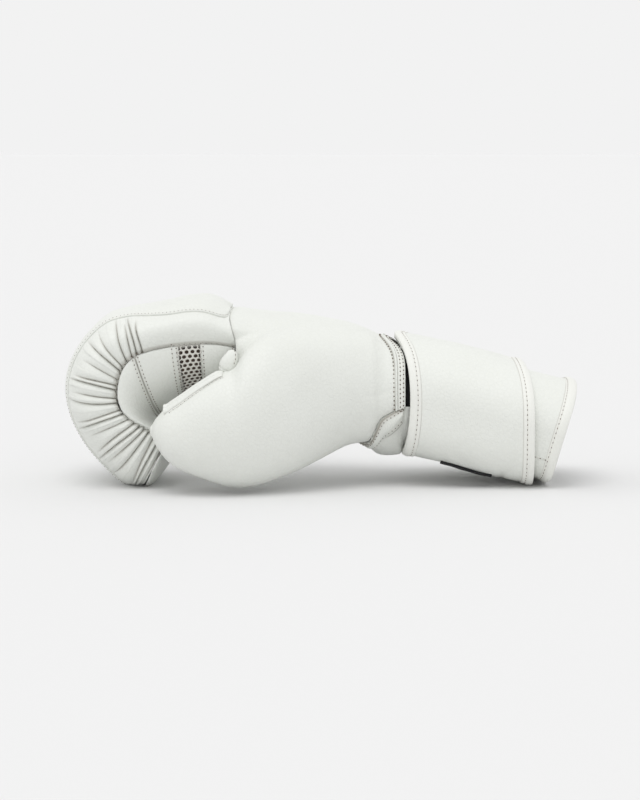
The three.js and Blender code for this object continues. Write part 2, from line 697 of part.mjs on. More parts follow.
// Thumb fold: the puffed tuck of leather along the shell's slanting lower edge at the wrist.
function foldGrid(lift) {
  return (i, j) => {
    const section = handSection(lerp(4.15, 5.9, i));
    const swell = Math.sin(Math.PI * lerp(0.06, 0.94, i));
    const degreesWide = (foldWidth * swell) / section.halfHeight / radians;
    const start = section.thumbEdge + 1.5;
    const height = gap + lift * foldThickness * swell * Math.sin(Math.PI * lerp(0.12, 0.88, j));
    return ringPoint(section, start + degreesWide * j, -height);
  };
}
const fold = solidOf(plate(6, 4, foldGrid(1), foldGrid(0))).subtract(solidOf(thumbBody(gap)));
add("thumb_fold", geometryFrom(largest(fold)), whiteLeather);

// Wrist binding: the stitched tape round the wrist edge of the hand shell.
function wristBindingGrid(lift) {
  return (i, j) => {
    const section = handSection(lastHandSection);
    const degrees = lerp(section.outerEdge, section.thumbEdge - 1, j);
    const edge = ringPoint(section, degrees);
    edge.x += dipAt(degrees);
    const position = lastHandSection * (1 - (1 - i) * (wristBindingWidth / handLength) * 1.15);
    const point = ringPoint(handSection(position), degrees, -gap - lift);
    point.x = edge.x - wristBindingWidth * (1 - i);
    const slope = (edge.x - section.x) / (0.14 * handLength);
    point.z = ringPoint(handSection(position + slope), degrees, -gap - lift).z;
    point.y = ringPoint(handSection(position + slope), degrees, -gap - lift).y;
    return point;
  };
}
add(
  "wrist_binding",
  plate(1, 18, wristBindingGrid(wristBindingThickness), wristBindingGrid(0)),
  bindingTape,
);

// The cuff: sections of its outside.
const cuffReach = cuffEnd + cuffSlant;
function cuffSection(x) {
  const position = rowAt(cuffSections, "at", (x - cuffStart) / (cuffReach - cuffStart));
  const value = (column) => between(cuffSections, column, position);
  const [top, bottom] = [value("top") * gloveHeight, value("bottom") * gloveHeight];
  return {
    x,
    y: 0,
    z: (top + bottom) / 2,
    halfWidth: (value("width") * cuffWidth) / 2,
    halfHeight: (top - bottom) / 2,
    shape: cuffShape,
    lowShape: cuffLowShape,
  };
}
const leaning = (middle, { lean, bow }, degrees) =>
  middle + lean * Math.sin(degrees * radians) + bow * Math.cos(degrees * radians) ** 2;
const openingEdge = { lean: cuffSlant, bow: openingBow };

// A point over the cuff's surface, at an X that the edge functions give.
const overCuff = (x, degrees, height) => onFloor(ringPoint(cuffSection(x), degrees, -height));

// Cuff: a padded tube with a slanting opening. The binding tape closes its edge.
const cuffColumns = 30;
function cuffGrid(height) {
  return (i, j) => {
    const degrees = 360 * j;
    const end = leaning(cuffEnd, openingEdge, degrees) - bindingWidth - gap;
    return overCuff(lerp(cuffStart, end, i), degrees, height);
  };
}
add("cuff", plate(4, cuffColumns, cuffGrid(0), cuffGrid(-cuffWall), true), whiteLeather);

// A tape folded over an edge: a flat lens, thickest in its middle.
function tapeHeights(low, high) {
  const middle = (low + high) / 2;
  const half = (high - low) / 2;
  return (j, side) => middle + side * half * (0.72 + 0.28 * Math.sin(Math.PI * j));
}
const cuffTape = tapeHeights(-cuffWall - 0.8, 0.8);
function cuffBindingGrid(side) {
  return (i, j) => {
    const degrees = 360 * j;
    const end = leaning(cuffEnd, openingEdge, degrees);
    return overCuff(lerp(end - bindingWidth, end, i), degrees, cuffTape(i, side));
  };
}
add("cuff_binding", plate(2, cuffColumns, cuffBindingGrid(1), cuffBindingGrid(-1), true), bindingTape);

// Wrist strap: starts on the outer side, passes under the wrist, up the thumb side and over the
// back, and ends on top of its own sewn end.
const layerLift = bindingThickness + gap;
const strapAngle = (share) => strapStartAngle - strapSweep * share;
function strapLift(share) {
  const past = (strapSweep * share - (360 - overlapRamp)) / overlapRamp;
  return layerLift * THREE.MathUtils.smoothstep(past, 0, 1);
}
const endTapeShare = bindingWidth / (cuffWidth / 2) / radians / strapSweep;
const strapBase = (bindingThickness - strapThickness) / 2 + gap;
const strapFrontAt = (degrees) => leaning(strapFront, strapFrontEdge, degrees);
const strapRearAt = (degrees) => leaning(strapRear, strapRearEdge, degrees);

function strapGrid(height, from, to) {
  return (i, j) => {
    const share = lerp(from, to, j);
    const degrees = strapAngle(share);
    const front = strapFrontAt(degrees) + bindingWidth + gap;
    const rear = strapRearAt(degrees) - bindingWidth - gap;
    return overCuff(lerp(front, rear, i), degrees, height + strapLift(share));
  };
}
const strapColumns = 36;
const strapTo = 1 - endTapeShare - gap / (cuffWidth / 2) / radians / strapSweep;
add(
  "wrist_strap",
  plate(
    3,
    strapColumns,
    strapGrid(strapBase + strapThickness, 0, strapTo),
    strapGrid(strapBase, 0, strapTo),
  ),
  whiteLeather,
);

// Strap bindings: tape over both long edges and over the free end.
const strapTape = tapeHeights(gap, gap + bindingThickness);
function strapEdgeGrid(side, start) {
  return (i, j) => {
    const share = strapTo * j;
    const degrees = strapAngle(share);
    const x = start(degrees) + bindingWidth * i;
    return overCuff(x, degrees, strapTape(i, side) + strapLift(share));
  };
}
const strapEdges = {
  strap_front_binding: strapFrontAt,
  strap_rear_binding: (degrees) => strapRearAt(degrees) - bindingWidth,
};
for (const [name, start] of Object.entries(strapEdges))
  add(
    name,
    plate(2, strapColumns, strapEdgeGrid(1, start), strapEdgeGrid(-1, start)),
    bindingTape,
  );

function strapEndGrid(side) {
  return (i, j) => {
    const share = lerp(1 - endTapeShare, 1, j);
    const degrees = strapAngle(share);
    const x = lerp(strapFrontAt(degrees), strapRearAt(degrees), i);
    return overCuff(x, degrees, strapTape(j, side) + strapLift(share));
  };
}
add("strap_end_binding", plate(4, 2, strapEndGrid(1), strapEndGrid(-1)), bindingTape);

// Size label: a small woven tab on the strap, under the thumb side of the wrist.
function labelGrid(height) {
  return (i, j) => {
    const middle = (strapFront + strapRear) / 2 + labelShift;
    const halfAngle = labelWidth / 2 / (cuffWidth / 2) / radians;
    const degrees = labelAngle + lerp(-halfAngle, halfAngle, j);
    const x = middle + labelLength * (i - 0.5);
    return overCuff(x, degrees, strapBase + strapThickness + gap + height);
  };
}
add("size_label", plate(4, 3, labelGrid(labelThickness), labelGrid(0)), blackFabric);

// Inner sleeve: the black lining that shows in the slit between the hand and the strap.
const sleeveStart = webX + handLength * 0.86;
function sleeveGrid(inset) {
  return (i, j) => {
    const x = sleeveStart + sleeveLength * i;
    const position = rowAt(handSections, "at", (x - webX) / handLength);
    const inHand = hollowOf(handSection(Math.min(position, lastHandSection)));
    const inCuff = cuffSection(x);
    const blend = THREE.MathUtils.smoothstep(x, cuffStart, cuffStart + sleeveEase);
    const section = { ...inCuff, x };
    for (const key of ["z", "halfWidth", "halfHeight", "shape", "lowShape"]) {
      const shrink = key === "halfWidth" || key === "halfHeight" ? cuffWall + gap : 0;
      section[key] = lerp(inHand[key], inCuff[key] - shrink, blend);
    }
    return ringPoint(section, 360 * j, 2 * gap + inset);
  };
}
add("inner_sleeve", plate(4, 20, sleeveGrid(0), sleeveGrid(sleeveWall), true), blackFabric);

// The origin goes to the middle of the glove, on the floor.
const box = new THREE.Box3().setFromObject(glove);
const middle = box.getCenter(new THREE.Vector3());
glove.position.set(-middle.x, -middle.y, -box.min.z);

export default glove;
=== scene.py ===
# A right-hand bag glove in white leather, lying palm down and seen from the thumb side.
# Metres, +Z up, the fingers towards -X and the cuff opening towards +X.
import math

import bmesh
import bpy
import numpy as np
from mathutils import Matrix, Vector


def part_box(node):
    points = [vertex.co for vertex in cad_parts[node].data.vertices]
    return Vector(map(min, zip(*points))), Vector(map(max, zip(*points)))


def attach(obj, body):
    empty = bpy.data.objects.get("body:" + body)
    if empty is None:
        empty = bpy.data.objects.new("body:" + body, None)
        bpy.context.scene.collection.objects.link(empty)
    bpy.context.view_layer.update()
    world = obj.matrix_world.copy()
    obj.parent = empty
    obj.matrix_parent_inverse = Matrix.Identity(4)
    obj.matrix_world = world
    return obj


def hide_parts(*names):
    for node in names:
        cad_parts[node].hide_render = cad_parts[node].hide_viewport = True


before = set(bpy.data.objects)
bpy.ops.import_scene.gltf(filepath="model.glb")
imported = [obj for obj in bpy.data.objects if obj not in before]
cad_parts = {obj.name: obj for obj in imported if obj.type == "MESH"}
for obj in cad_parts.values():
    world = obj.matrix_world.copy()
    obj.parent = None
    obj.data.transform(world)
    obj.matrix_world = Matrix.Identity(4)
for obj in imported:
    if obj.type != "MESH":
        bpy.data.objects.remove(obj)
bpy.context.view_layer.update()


# Face pad: the thick foam pad over the knuckles and fingers, under one panel of full-grain
# leather. It is curled forward in the making, and piped seams run along both of its sides.
MM = 0.001
GLOVE_HEIGHT = 0.111
FIST_LENGTH = 0.102
FIST_WIDTH = 0.112
WEB_X = -0.049  # the plane where the fist meets the hand, from the middle of the design
SEAM_TUCK = 0.005
PAD_END_LEAN = 0.0045  # how far the seam over the top leans towards the fingers
FACE_PAD_THICKNESS = 0.022
SIDE_PAD_THICKNESS = 0.013
PANEL_THICKNESS = 0.0035

# The design is centred on the cuff's middle plane, and the frame on the middle of the box.
web_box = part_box("web_panel")
cuff_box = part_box("cuff")
ORIGIN = np.array([web_box[1][0] - WEB_X, (cuff_box[0][1] + cuff_box[1][1]) / 2, 0.0])

# The fist in side view, from the web round the knuckles to the fingertips: shares of
# FIST_LENGTH and GLOVE_HEIGHT for the outside, the gathered seam and the deepest palm line,
# and the share of FIST_WIDTH.
FIST_SECTIONS = np.array([
    # out x, out z, seam x, seam z, deep x, deep z, width
    (0.0, 0.928, 0.0, 0.757, 0.0, 0.468, 0.95),
    (0.127, 0.99, 0.118, 0.775, 0.118, 0.459, 0.97),
    (0.265, 1.0, 0.255, 0.775, 0.235, 0.45, 0.985),
    (0.405, 0.974, 0.392, 0.761, 0.343, 0.41, 1.0),
    (0.522, 0.951, 0.5, 0.739, 0.412, 0.37, 1.0),
    (0.632, 0.932, 0.574, 0.712, 0.448, 0.35, 1.0),
    (0.768, 0.892, 0.627, 0.667, 0.462, 0.34, 1.0),
    (0.893, 0.785, 0.657, 0.613, 0.465, 0.335, 1.0),
    (0.975, 0.648, 0.672, 0.55, 0.462, 0.33, 1.0),
    (1.0, 0.515, 0.672, 0.491, 0.455, 0.326, 1.0),
    (0.98, 0.387, 0.652, 0.437, 0.444, 0.32, 0.99),
    (0.931, 0.279, 0.612, 0.395, 0.43, 0.314, 0.97),
    (0.863, 0.18, 0.56, 0.362, 0.412, 0.305, 0.945),
    (0.765, 0.078, 0.50, 0.333, 0.39, 0.292, 0.91),
    (0.655, -0.008, 0.448, 0.298, 0.368, 0.27, 0.87),
    (0.55, -0.018, 0.405, 0.255, 0.345, 0.24, 0.82),
])
LAST_SECTION = len(FIST_SECTIONS) - 1
SIDE_SHAPE = 2.9
POCKET_SHAPE = 2.4


def between(rows, position):
    """The rows of a table, read smoothly at positions counted in rows."""
    position = np.asarray(position, float)
    i = np.clip(np.floor(position).astype(int), 0, len(rows) - 2)
    f = (position - i)[..., None]
    a, b, c, d = (rows[np.clip(i + k, 0, len(rows) - 1)] for k in (-1, 0, 1, 2))
    return b + 0.5 * f * (c - a + f * (2 * a - 5 * b + 4 * c - d + f * (3 * (b - c) + d - a)))


def smoothstep(x, low, high):
    t = np.clip((np.asarray(x, float) - low) / (high - low), 0, 1)
    return t * t * (3 - 2 * t)


def mix(a, b, share):
    return a + (b - a) * share


def in_frame(x, y, z):
    """Design places as points of the frame, laid flat where they would sink into the floor."""
    lean = PAD_END_LEAN * np.exp(-(((x - WEB_X) / 0.022) ** 2)) * smoothstep(z, 0.084, 0.104)
    points = np.stack(np.broadcast_arrays(x - lean, y, z), axis=-1) + ORIGIN
    points[..., 2] = np.maximum(points[..., 2], 0)
    return points


def fist_lines(position):
    rows = between(FIST_SECTIONS, position)
    x = WEB_X - rows[..., (0, 2, 4)] * FIST_LENGTH
    z = rows[..., (1, 3, 5)] * GLOVE_HEIGHT
    return x, z, rows[..., 6] * FIST_WIDTH / 2


def fist_point(position, share, side):
    """Round the fist: share 0 is the middle of the outside, 1 the gathered seam, 2 the palm."""
    position, share = np.broadcast_arrays(np.asarray(position, float), share)
    x, z, half = fist_lines(position)
    angle = np.minimum(share, 1) * math.pi / 2
    depth = 1 - np.maximum(np.cos(angle), 0) ** (2 / SIDE_SHAPE)
    across = np.sin(angle) ** (2 / SIDE_SHAPE) * half
    tuck = SEAM_TUCK * np.maximum(0, (share - 0.7) / 0.3) ** 1.5
    turn = (np.maximum(share, 1) - 1) * math.pi / 2
    outer = share <= 1
    px = np.where(outer, mix(x[..., 0], x[..., 1], depth), mix(x[..., 1], x[..., 2], np.sin(turn)))
    pz = np.where(outer, mix(z[..., 0], z[..., 1], depth), mix(z[..., 1], z[..., 2], np.sin(turn)))
    py = np.where(outer, across - tuck, (half - SEAM_TUCK) * np.cos(turn))
    return in_frame(px, side * py, pz)


def pocket_point(position, share, side):
    """The pocket for the fingers inside the fist, in the same terms."""
    position, share = np.broadcast_arrays(np.asarray(position, float), share)
    x, z, half = fist_lines(position)
    wall = np.hypot(x[..., 0] - x[..., 1], z[..., 0] - z[..., 1])
    skin = np.hypot(x[..., 2] - x[..., 1], z[..., 2] - z[..., 1])
    roof_share = np.minimum(FACE_PAD_THICKNESS / wall, 1.05)
    floor_share = PANEL_THICKNESS / skin
    angle = share * math.pi / 2
    across = np.maximum(np.sin(angle), 0) ** (2 / POCKET_SHAPE) * (half - SIDE_PAD_THICKNESS)
    drop = 1 - np.maximum(np.cos(angle), 0) ** (2 / POCKET_SHAPE)
    places = []
    for line in (x, z):
        roof = mix(line[..., 0], line[..., 1], roof_share)
        floor = mix(line[..., 2], line[..., 1], floor_share)
        middle = mix(roof, floor, 0.4)
        places.append(np.where(share <= 1, mix(roof, middle, drop), mix(middle, floor, -np.cos(angle))))
    return in_frame(places[0], side * across, places[1])


CORNER_SHAPE = 2.4
CORNER_REACH = 1.1  # in fist sections
WEB_SHARE = 0.15  # how far round the pad reaches at the web, and how much further behind its corners
BACK_SHARE = 0.38
KNUCKLE_DRAW = 0.22  # how much narrower the pad grows over the knuckles and at the fingertips
FINGERTIP_DRAW = 0.1


def face_share(position):
    """How far round the fist the pad's piped seam lies, with rounded corners at the web."""
    corner = 1 - (1 - np.clip(np.asarray(position, float) / CORNER_REACH, 0, 1)) ** CORNER_SHAPE
    front = KNUCKLE_DRAW * smoothstep(position, 2.2, 5.5) + FINGERTIP_DRAW * smoothstep(position, 8.5, 15.5)
    return WEB_SHARE + BACK_SHARE * corner ** (1 / CORNER_SHAPE) - front


def arc_lengths(points, axis):
    """Distance along a grid of points, measured from its first row or column."""
    steps = np.linalg.norm(np.diff(points, axis=axis), axis=-1)
    start = np.zeros_like(np.take(steps, [0], axis=axis))
    return np.cumsum(np.concatenate([start, steps], axis=axis), axis=axis)


def edge_distance(points, axis):
    run = arc_lengths(points, axis)
    return np.minimum(run, np.take(run, [-1], axis=axis) - run)


def grid_normals(points):
    normals = np.cross(np.gradient(points, axis=0), np.gradient(points, axis=1))
    return normals / np.maximum(np.linalg.norm(normals, axis=-1, keepdims=True), 1e-12)


def outward(points, inside):
    """Unit normals of a grid that look away from a second grid behind it."""
    normals = grid_normals(points)
    towards = np.sum(normals * (points - inside), axis=-1).mean()
    return normals if towards > 0 else -normals


def unevenness(points, wave, seed):
    """Smooth hand-made unevenness, from -1 to 1, that repeats nowhere on the glove."""
    draw = np.random.default_rng(seed)
    total = np.zeros(points.shape[:-1])
    for _ in range(7):
        direction = draw.normal(size=3)
        direction *= 2 * math.pi / (wave * draw.uniform(0.7, 1.6) * np.linalg.norm(direction))
        total += np.sin(points @ direction + draw.uniform(0, 2 * math.pi))
    return total / 4


def grid_faces(rows, columns, closed, start=0):
    across = columns if closed else columns - 1
    i, j = np.meshgrid(np.arange(rows - 1), np.arange(across), indexing="ij")
    k = (j + 1) % columns
    here, there = start + i * columns, start + (i + 1) * columns
    return np.stack([here + j, there + j, there + k, here + k], axis=-1).reshape(-1, 4)


def new_piece(name, vertices, faces, finish, folds=None):
    """A mesh object at the origin, with its faces turned out and its shading smooth."""
    mesh = bpy.data.meshes.new(name)
    mesh.from_pydata(np.reshape(vertices, (-1, 3)).tolist(), [], [list(map(int, f)) for f in faces])
    work = bmesh.new()
    work.from_mesh(mesh)
    bmesh.ops.recalc_face_normals(work, faces=work.faces)
    work.to_mesh(mesh)
    work.free()
    # The fold attribute is a mask of painted shade, which darkens the leather in creases, tucks and seams.
    if folds is not None:
        depth = mesh.attributes.new("fold", "FLOAT", "POINT")
        depth.data.foreach_set("value", np.asarray(folds, np.float32).ravel())
    mesh.shade_smooth()
    mesh.materials.append(finish)
    piece = bpy.data.objects.new(name, mesh)
    bpy.context.collection.objects.link(piece)
    return piece


def panel(name, outside, inside, finish, closed=False, folds=None):
    """A closed panel between an outside and an inside grid of points."""
    rows, columns = outside.shape[:2]
    count = rows * columns
    faces = [grid_faces(rows, columns, closed), grid_faces(rows, columns, closed, count)[:, ::-1]]
    first = np.arange(columns)
    ends = [(first, 1), (first + (rows - 1) * columns, -1)]
    if not closed:
        side = np.arange(rows) * columns
        ends += [(side, -1), (side + columns - 1, 1)]
    for line, turn in ends:
        after = np.roll(line, -1)
        if not closed:
            line, after = line[:-1], after[:-1]
        rim = np.stack([line, after, after + count, line + count], axis=-1)
        faces.append(rim[:, ::turn])
    if folds is not None:
        folds = np.concatenate([np.ravel(folds), np.zeros(count)])
    vertices = np.concatenate([outside.reshape(-1, 3), inside.reshape(-1, 3)])
    return new_piece(name, vertices, np.concatenate(faces), finish, folds)


class Wire:
    """A socket of a finish, on which sums are written as Python expressions."""

    def __init__(self, finish, socket):
        self.finish = finish
        self.socket = socket

    def math(self, operation, *values):
        return self.finish.node("ShaderNodeMath", {"operation": operation}, *values)

    def __add__(self, other):
        return self.math("ADD", self, other)

    def __sub__(self, other):
        return self.math("SUBTRACT", self, other)

    def __mul__(self, other):
        return self.math("MULTIPLY", self, other)

    def __rsub__(self, other):
        return self.math("SUBTRACT", other, self)

    __radd__ = __add__
    __rmul__ = __mul__


class Finish:
    """A procedural material, made node by node."""

    def __init__(self, name):
        self.material = bpy.data.materials.new(name)
        self.material.use_nodes = True
        self.nodes = self.material.node_tree.nodes
        self.links = self.material.node_tree.links
        self.nodes.clear()

    def node(self, kind, settings=None, *values, output=0, at=None, **sockets):
        """A node with its settings, and the values or links of its sockets by place or by name."""
        made = self.nodes.new(kind)
        for key, value in (settings or {}).items():
            if key == "stops":
                ramp = made.color_ramp.elements
                for k, (place, level) in enumerate(value):
                    stop = ramp[k] if k < 2 else ramp.new(place)
                    stop.position = place
                    stop.color = (level, level, level, 1)
            else:
                setattr(made, key, value)
        places = dict(enumerate(values))
        places.update(at or {})
        places.update({key.replace("_", " "): value for key, value in sockets.items()})
        for key, value in places.items():
            target = made.inputs[key]
            if isinstance(value, Wire):
                self.links.new(value.socket, target)
            else:
                target.default_value = value
        return Wire(self, made.outputs[output])

    def blend(self, share, low, high):
        """A colour between two others. Sockets 6 and 7 of this node are its colours."""
        settings = {"data_type": "RGBA", "clamp_factor": True}
        return self.node("ShaderNodeMix", settings, output=2, at={0: share, 6: low, 7: high})

    def place(self):
        """Places on the piece, by which its patterns are laid out."""
        return self.node("ShaderNodeTexCoord", None, output="Object")

    def surface(self, **sockets):
        shader = self.node("ShaderNodeBsdfPrincipled", None, **sockets)
        end = self.nodes.new("ShaderNodeOutputMaterial")
        self.links.new(shader.socket, end.inputs["Surface"])
        return self.material


def leather(name, light, shade, grain_size=0.9 * MM, grain_depth=0.15 * MM):
    """White full-grain leather: pebbled grain, faint creases, and painted shade in its folds."""
    finish = Finish(name)
    place = finish.place()
    bend = finish.node("ShaderNodeTexNoise", None, Vector=place, Scale=260.0, Detail=2.0, output="Color")
    moved = finish.node(
        "ShaderNodeVectorMath", {"operation": "MULTIPLY_ADD"}, bend, (0.0016, 0.0016, 0.0016), place
    )
    pebbles = finish.node("ShaderNodeTexVoronoi", None, Vector=moved, Scale=1 / grain_size)
    edges = finish.node(
        "ShaderNodeTexVoronoi", {"feature": "DISTANCE_TO_EDGE"}, Vector=moved, Scale=0.32 / grain_size
    )
    creases = finish.node("ShaderNodeMath", {"operation": "MINIMUM"}, edges * 5.0, 1.0)
    swell = finish.node("ShaderNodeTexNoise", None, Vector=place, Scale=70.0, Detail=3.0)
    cloud = finish.node("ShaderNodeTexNoise", None, Vector=place, Scale=22.0, Detail=4.0)
    height = creases * 0.45 - pebbles * 0.5 + swell * 0.8
    bump = finish.node("ShaderNodeBump", None, Strength=1.0, Distance=grain_depth, Height=height)
    folds = finish.node("ShaderNodeAttribute", {"attribute_name": "fold"}, output="Fac")
    patches = finish.node("ShaderNodeValToRGB", {"stops": [(0.35, 0.0), (0.75, 1.0)]}, cloud)
    tone = finish.blend(patches * 0.5 + (1 - creases) * 0.25, light, shade)
    # Painted shade: the fold attribute mixes the leather towards dark brown in creases, pleat valleys, tucks
    # and seams.
    tone = finish.blend(folds * 0.9, tone, (0.23, 0.20, 0.16, 1))
    rough = 0.44 + swell * 0.14 + (1 - creases) * 0.08
    return finish.surface(Base_Color=tone, Roughness=rough, Normal=bump)


white_leather = leather("white_leather", (0.79, 0.805, 0.766, 1), (0.735, 0.748, 0.705, 1))
FACE_COLUMNS = 76
CORNER_END = 0.9  # the rows of the pad lie closer together up to here
corner_turn = np.linspace(0, math.pi / 2, 44)[:-1]
corner_positions = CORNER_END * (1 - np.cos(corner_turn) ** (2 / CORNER_SHAPE))
face_position = np.concatenate([corner_positions, np.linspace(CORNER_END, LAST_SECTION, 220)])[:, None]
SEAM_GAP_SHARE = 0.0035
across = np.linspace(-1, 1, FACE_COLUMNS)[None, :] * (face_share(face_position) - SEAM_GAP_SHARE)
pad_side = np.where(across < 0, -1, 1)
pad_base = fist_point(face_position, np.abs(across), pad_side)
pad_inside = pocket_point(face_position, np.abs(across), pad_side)
pad_normals = outward(pad_base, pad_inside)
from_web = arc_lengths(pad_base, 0)
from_seam = edge_distance(pad_base, 1)
PAD_LIP = 2.0 * MM
pad_lift = PAD_LIP * (1 - np.exp(-((from_web / 0.0030) ** 1.5))) * (1 - smoothstep(from_web, 0.008, 0.030))
pad_lift -= 0.7 * MM * np.exp(-(from_web / 0.0016))
pad_lift -= 1.2 * MM * np.exp(-((from_seam / 0.0034) ** 1.4))
pad_lift += 0.45 * MM * unevenness(pad_base, 0.045, 3) * smoothstep(from_seam, 0, 0.015)
pad_outside = pad_base + pad_normals * pad_lift[..., None]
pad_outside[..., 2] = np.maximum(pad_outside[..., 2], 0)
face_pad = panel("face_pad_leather", pad_outside, pad_inside, white_leather)
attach(face_pad, "root")
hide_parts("face_pad")


def sweep(route, profile, up):
    """Rings of a profile of (sideways, upwards) points along a route."""
    ahead = np.gradient(route, axis=0)
    sideways = np.cross(ahead, up)
    sideways /= np.linalg.norm(sideways, axis=1, keepdims=True)
    upwards = np.cross(sideways, ahead)
    upwards /= np.linalg.norm(upwards, axis=1, keepdims=True)
    return route[:, None] + sideways[:, None] * profile[..., :1] + upwards[:, None] * profile[..., 1:]


def round_profile(radius, sides=10, flat=1.0):
    turn = np.linspace(0, 2 * math.pi, sides, endpoint=False)
    return radius * np.stack([np.cos(turn), np.sin(turn) * flat], axis=-1)


def rod(name, rings, finish):
    """A closed body through rings of points."""
    rows, columns = rings.shape[:2]
    faces = grid_faces(rows, columns, True).tolist()
    faces += [list(range(columns)), list(range((rows - 1) * columns, rows * columns))]
    rings = rings.copy()
    rings[..., 2] = np.maximum(rings[..., 2], 0)
    return new_piece(name, rings, faces, finish)


def trim(piece):
    """Small leather trim, which rides on the glove and stands for no solid of its own."""
    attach(piece, "root")
    return piece


# The piped seam runs up one side of the pad, round its raised end at the web and down again.
PIPING_RADIUS = 0.9 * MM
PIPING_SINK = 0.45 * MM
piping_edge = np.concatenate([pad_base[:0:-1, 0], pad_base[0], pad_base[1:, -1]])
piping_up = np.concatenate([pad_normals[:0:-1, 0], pad_normals[0], pad_normals[1:, -1]])


PIPING_STEP = 1.0 * MM
PIPING_SMOOTHING = 3  # steps to either side


def evened(line, run):
    """A line read at equal steps along it and smoothed, with its two ends kept."""
    reach = PIPING_SMOOTHING
    steps = np.linspace(0, run[-1], int(run[-1] / PIPING_STEP))
    read = np.stack([np.interp(steps, run, line[:, k]) for k in range(3)], axis=-1)
    wide = np.concatenate([np.repeat(read[:1], reach, axis=0), read, np.repeat(read[-1:], reach, axis=0)])
    return np.mean([wide[k:k + len(read)] for k in range(2 * reach + 1)], axis=0)


piping_run = arc_lengths(piping_edge, 0)
piping_up = evened(piping_up, piping_run)
piping_up /= np.linalg.norm(piping_up, axis=1, keepdims=True)
piping_route = evened(piping_edge, piping_run) - piping_up * PIPING_SINK
trim(rod("face_pad_piping", sweep(piping_route, round_profile(PIPING_RADIUS), piping_up), white_leather))

thread_finish = Finish("sewing_thread")
thread_place = thread_finish.place()
twist = thread_finish.node("ShaderNodeTexWave", None, Vector=thread_place, Scale=900.0)
thread_colour = thread_finish.blend(twist, (0.80, 0.79, 0.75, 1), (0.66, 0.64, 0.58, 1))
thread = thread_finish.surface(Base_Color=thread_colour, Roughness=0.6)
# Needle holes: dark beads between the stitches, a painted shade that stands for the shadow inside each hole.
hole_finish = Finish("needle_hole_shade")
hole_place = hole_finish.place()
speck = hole_finish.node("ShaderNodeTexNoise", None, Vector=hole_place, Scale=400.0)
hole_shade_colour = hole_finish.blend(speck, (0.07, 0.05, 0.04, 1), (0.20, 0.15, 0.11, 1))
needle_hole_shade = hole_finish.surface(Base_Color=hole_shade_colour, Roughness=0.9)


def stitch_tree():
    """Nodes that set one bead at every stitch of a seam: the thread, or the hole beside it."""
    tree = bpy.data.node_groups.new("stitches", "GeometryNodeTree")
    inputs = {}
    kinds = {"Seams": "Geometry", "Pitch": "Float", "Length": "Float", "Width": "Float", "Shift": "Float"}
    kinds["Finish"] = "Material"
    for label, kind in kinds.items():
        made = tree.interface.new_socket(label, in_out="INPUT", socket_type="NodeSocket" + kind)
        inputs[label] = made.identifier
    tree.interface.new_socket("Stitches", in_out="OUTPUT", socket_type="NodeSocketGeometry")

    def add(kind, **settings):
        node = tree.nodes.new(kind)
        for key, value in settings.items():
            setattr(node, key, value)
        return node

    start, end = add("NodeGroupInput"), add("NodeGroupOutput")
    curve = add("GeometryNodeMeshToCurve")
    resample = add("GeometryNodeResampleCurve", mode="LENGTH")
    tangent = add("GeometryNodeInputTangent")
    shift = add("ShaderNodeVectorMath", operation="SCALE")
    move = add("GeometryNodeSetPosition")
    turn = add("FunctionNodeAlignRotationToVector", axis="X")
    bead = add("GeometryNodeMeshUVSphere")
    bead.inputs["Segments"].default_value = 6
    bead.inputs["Rings"].default_value = 4
    size = add("ShaderNodeCombineXYZ")
    smooth = add("GeometryNodeSetShadeSmooth")
    place = add("GeometryNodeInstanceOnPoints")
    realize = add("GeometryNodeRealizeInstances")
    finish = add("GeometryNodeSetMaterial")
    wires = [
        (start, "Seams", curve, "Mesh"), (curve, "Curve", resample, "Curve"),
        (start, "Pitch", resample, "Length"), (resample, "Curve", move, "Geometry"),
        (tangent, "Tangent", shift, "Vector"), (start, "Shift", shift, "Scale"),
        (shift, "Vector", move, "Offset"), (move, "Geometry", place, "Points"),
        (tangent, "Tangent", turn, "Vector"), (turn, "Rotation", place, "Rotation"),
        (bead, "Mesh", smooth, "Geometry"), (smooth, "Geometry", place, "Instance"),
        (start, "Length", size, "X"), (start, "Width", size, "Y"), (start, "Width", size, "Z"),
        (size, "Vector", place, "Scale"), (place, "Instances", realize, "Geometry"),
        (realize, "Geometry", finish, "Geometry"), (start, "Finish", finish, "Material"),
        (finish, "Geometry", end, "Stitches"),
    ]
    for source, output, target, socket in wires:
        tree.links.new(source.outputs[output], target.inputs[socket])
    return tree, inputs


stitches, stitch_inputs = stitch_tree()


def beads(name, lines, **values):
    """Beads along lines of points, made a plain mesh."""
    vertices = np.concatenate(lines)
    vertices[:, 2] = np.maximum(vertices[:, 2], values["Width"])
    edges, start = [], 0
    for line in lines:
        edges += [(start + k, start + k + 1) for k in range(len(line) - 1)]
        start += len(line)
    mesh = bpy.data.meshes.new(name)
    mesh.from_pydata(vertices.tolist(), edges, [])
    seams = bpy.data.objects.new(name + "_seams", mesh)
    bpy.context.collection.objects.link(seams)
    rows = seams.modifiers.new("stitches", "NODES")
    rows.node_group = stitches
    for label, value in values.items():
        rows[stitch_inputs[label]] = value
    sewn = bpy.data.meshes.new_from_object(seams.evaluated_get(bpy.context.evaluated_depsgraph_get()))
    bpy.data.objects.remove(seams)
    piece = bpy.data.objects.new(name, sewn)
    bpy.context.collection.objects.link(piece)
    return trim(piece)


STITCH_SHARE = 0.36  # half a stitch, as a share of the pitch


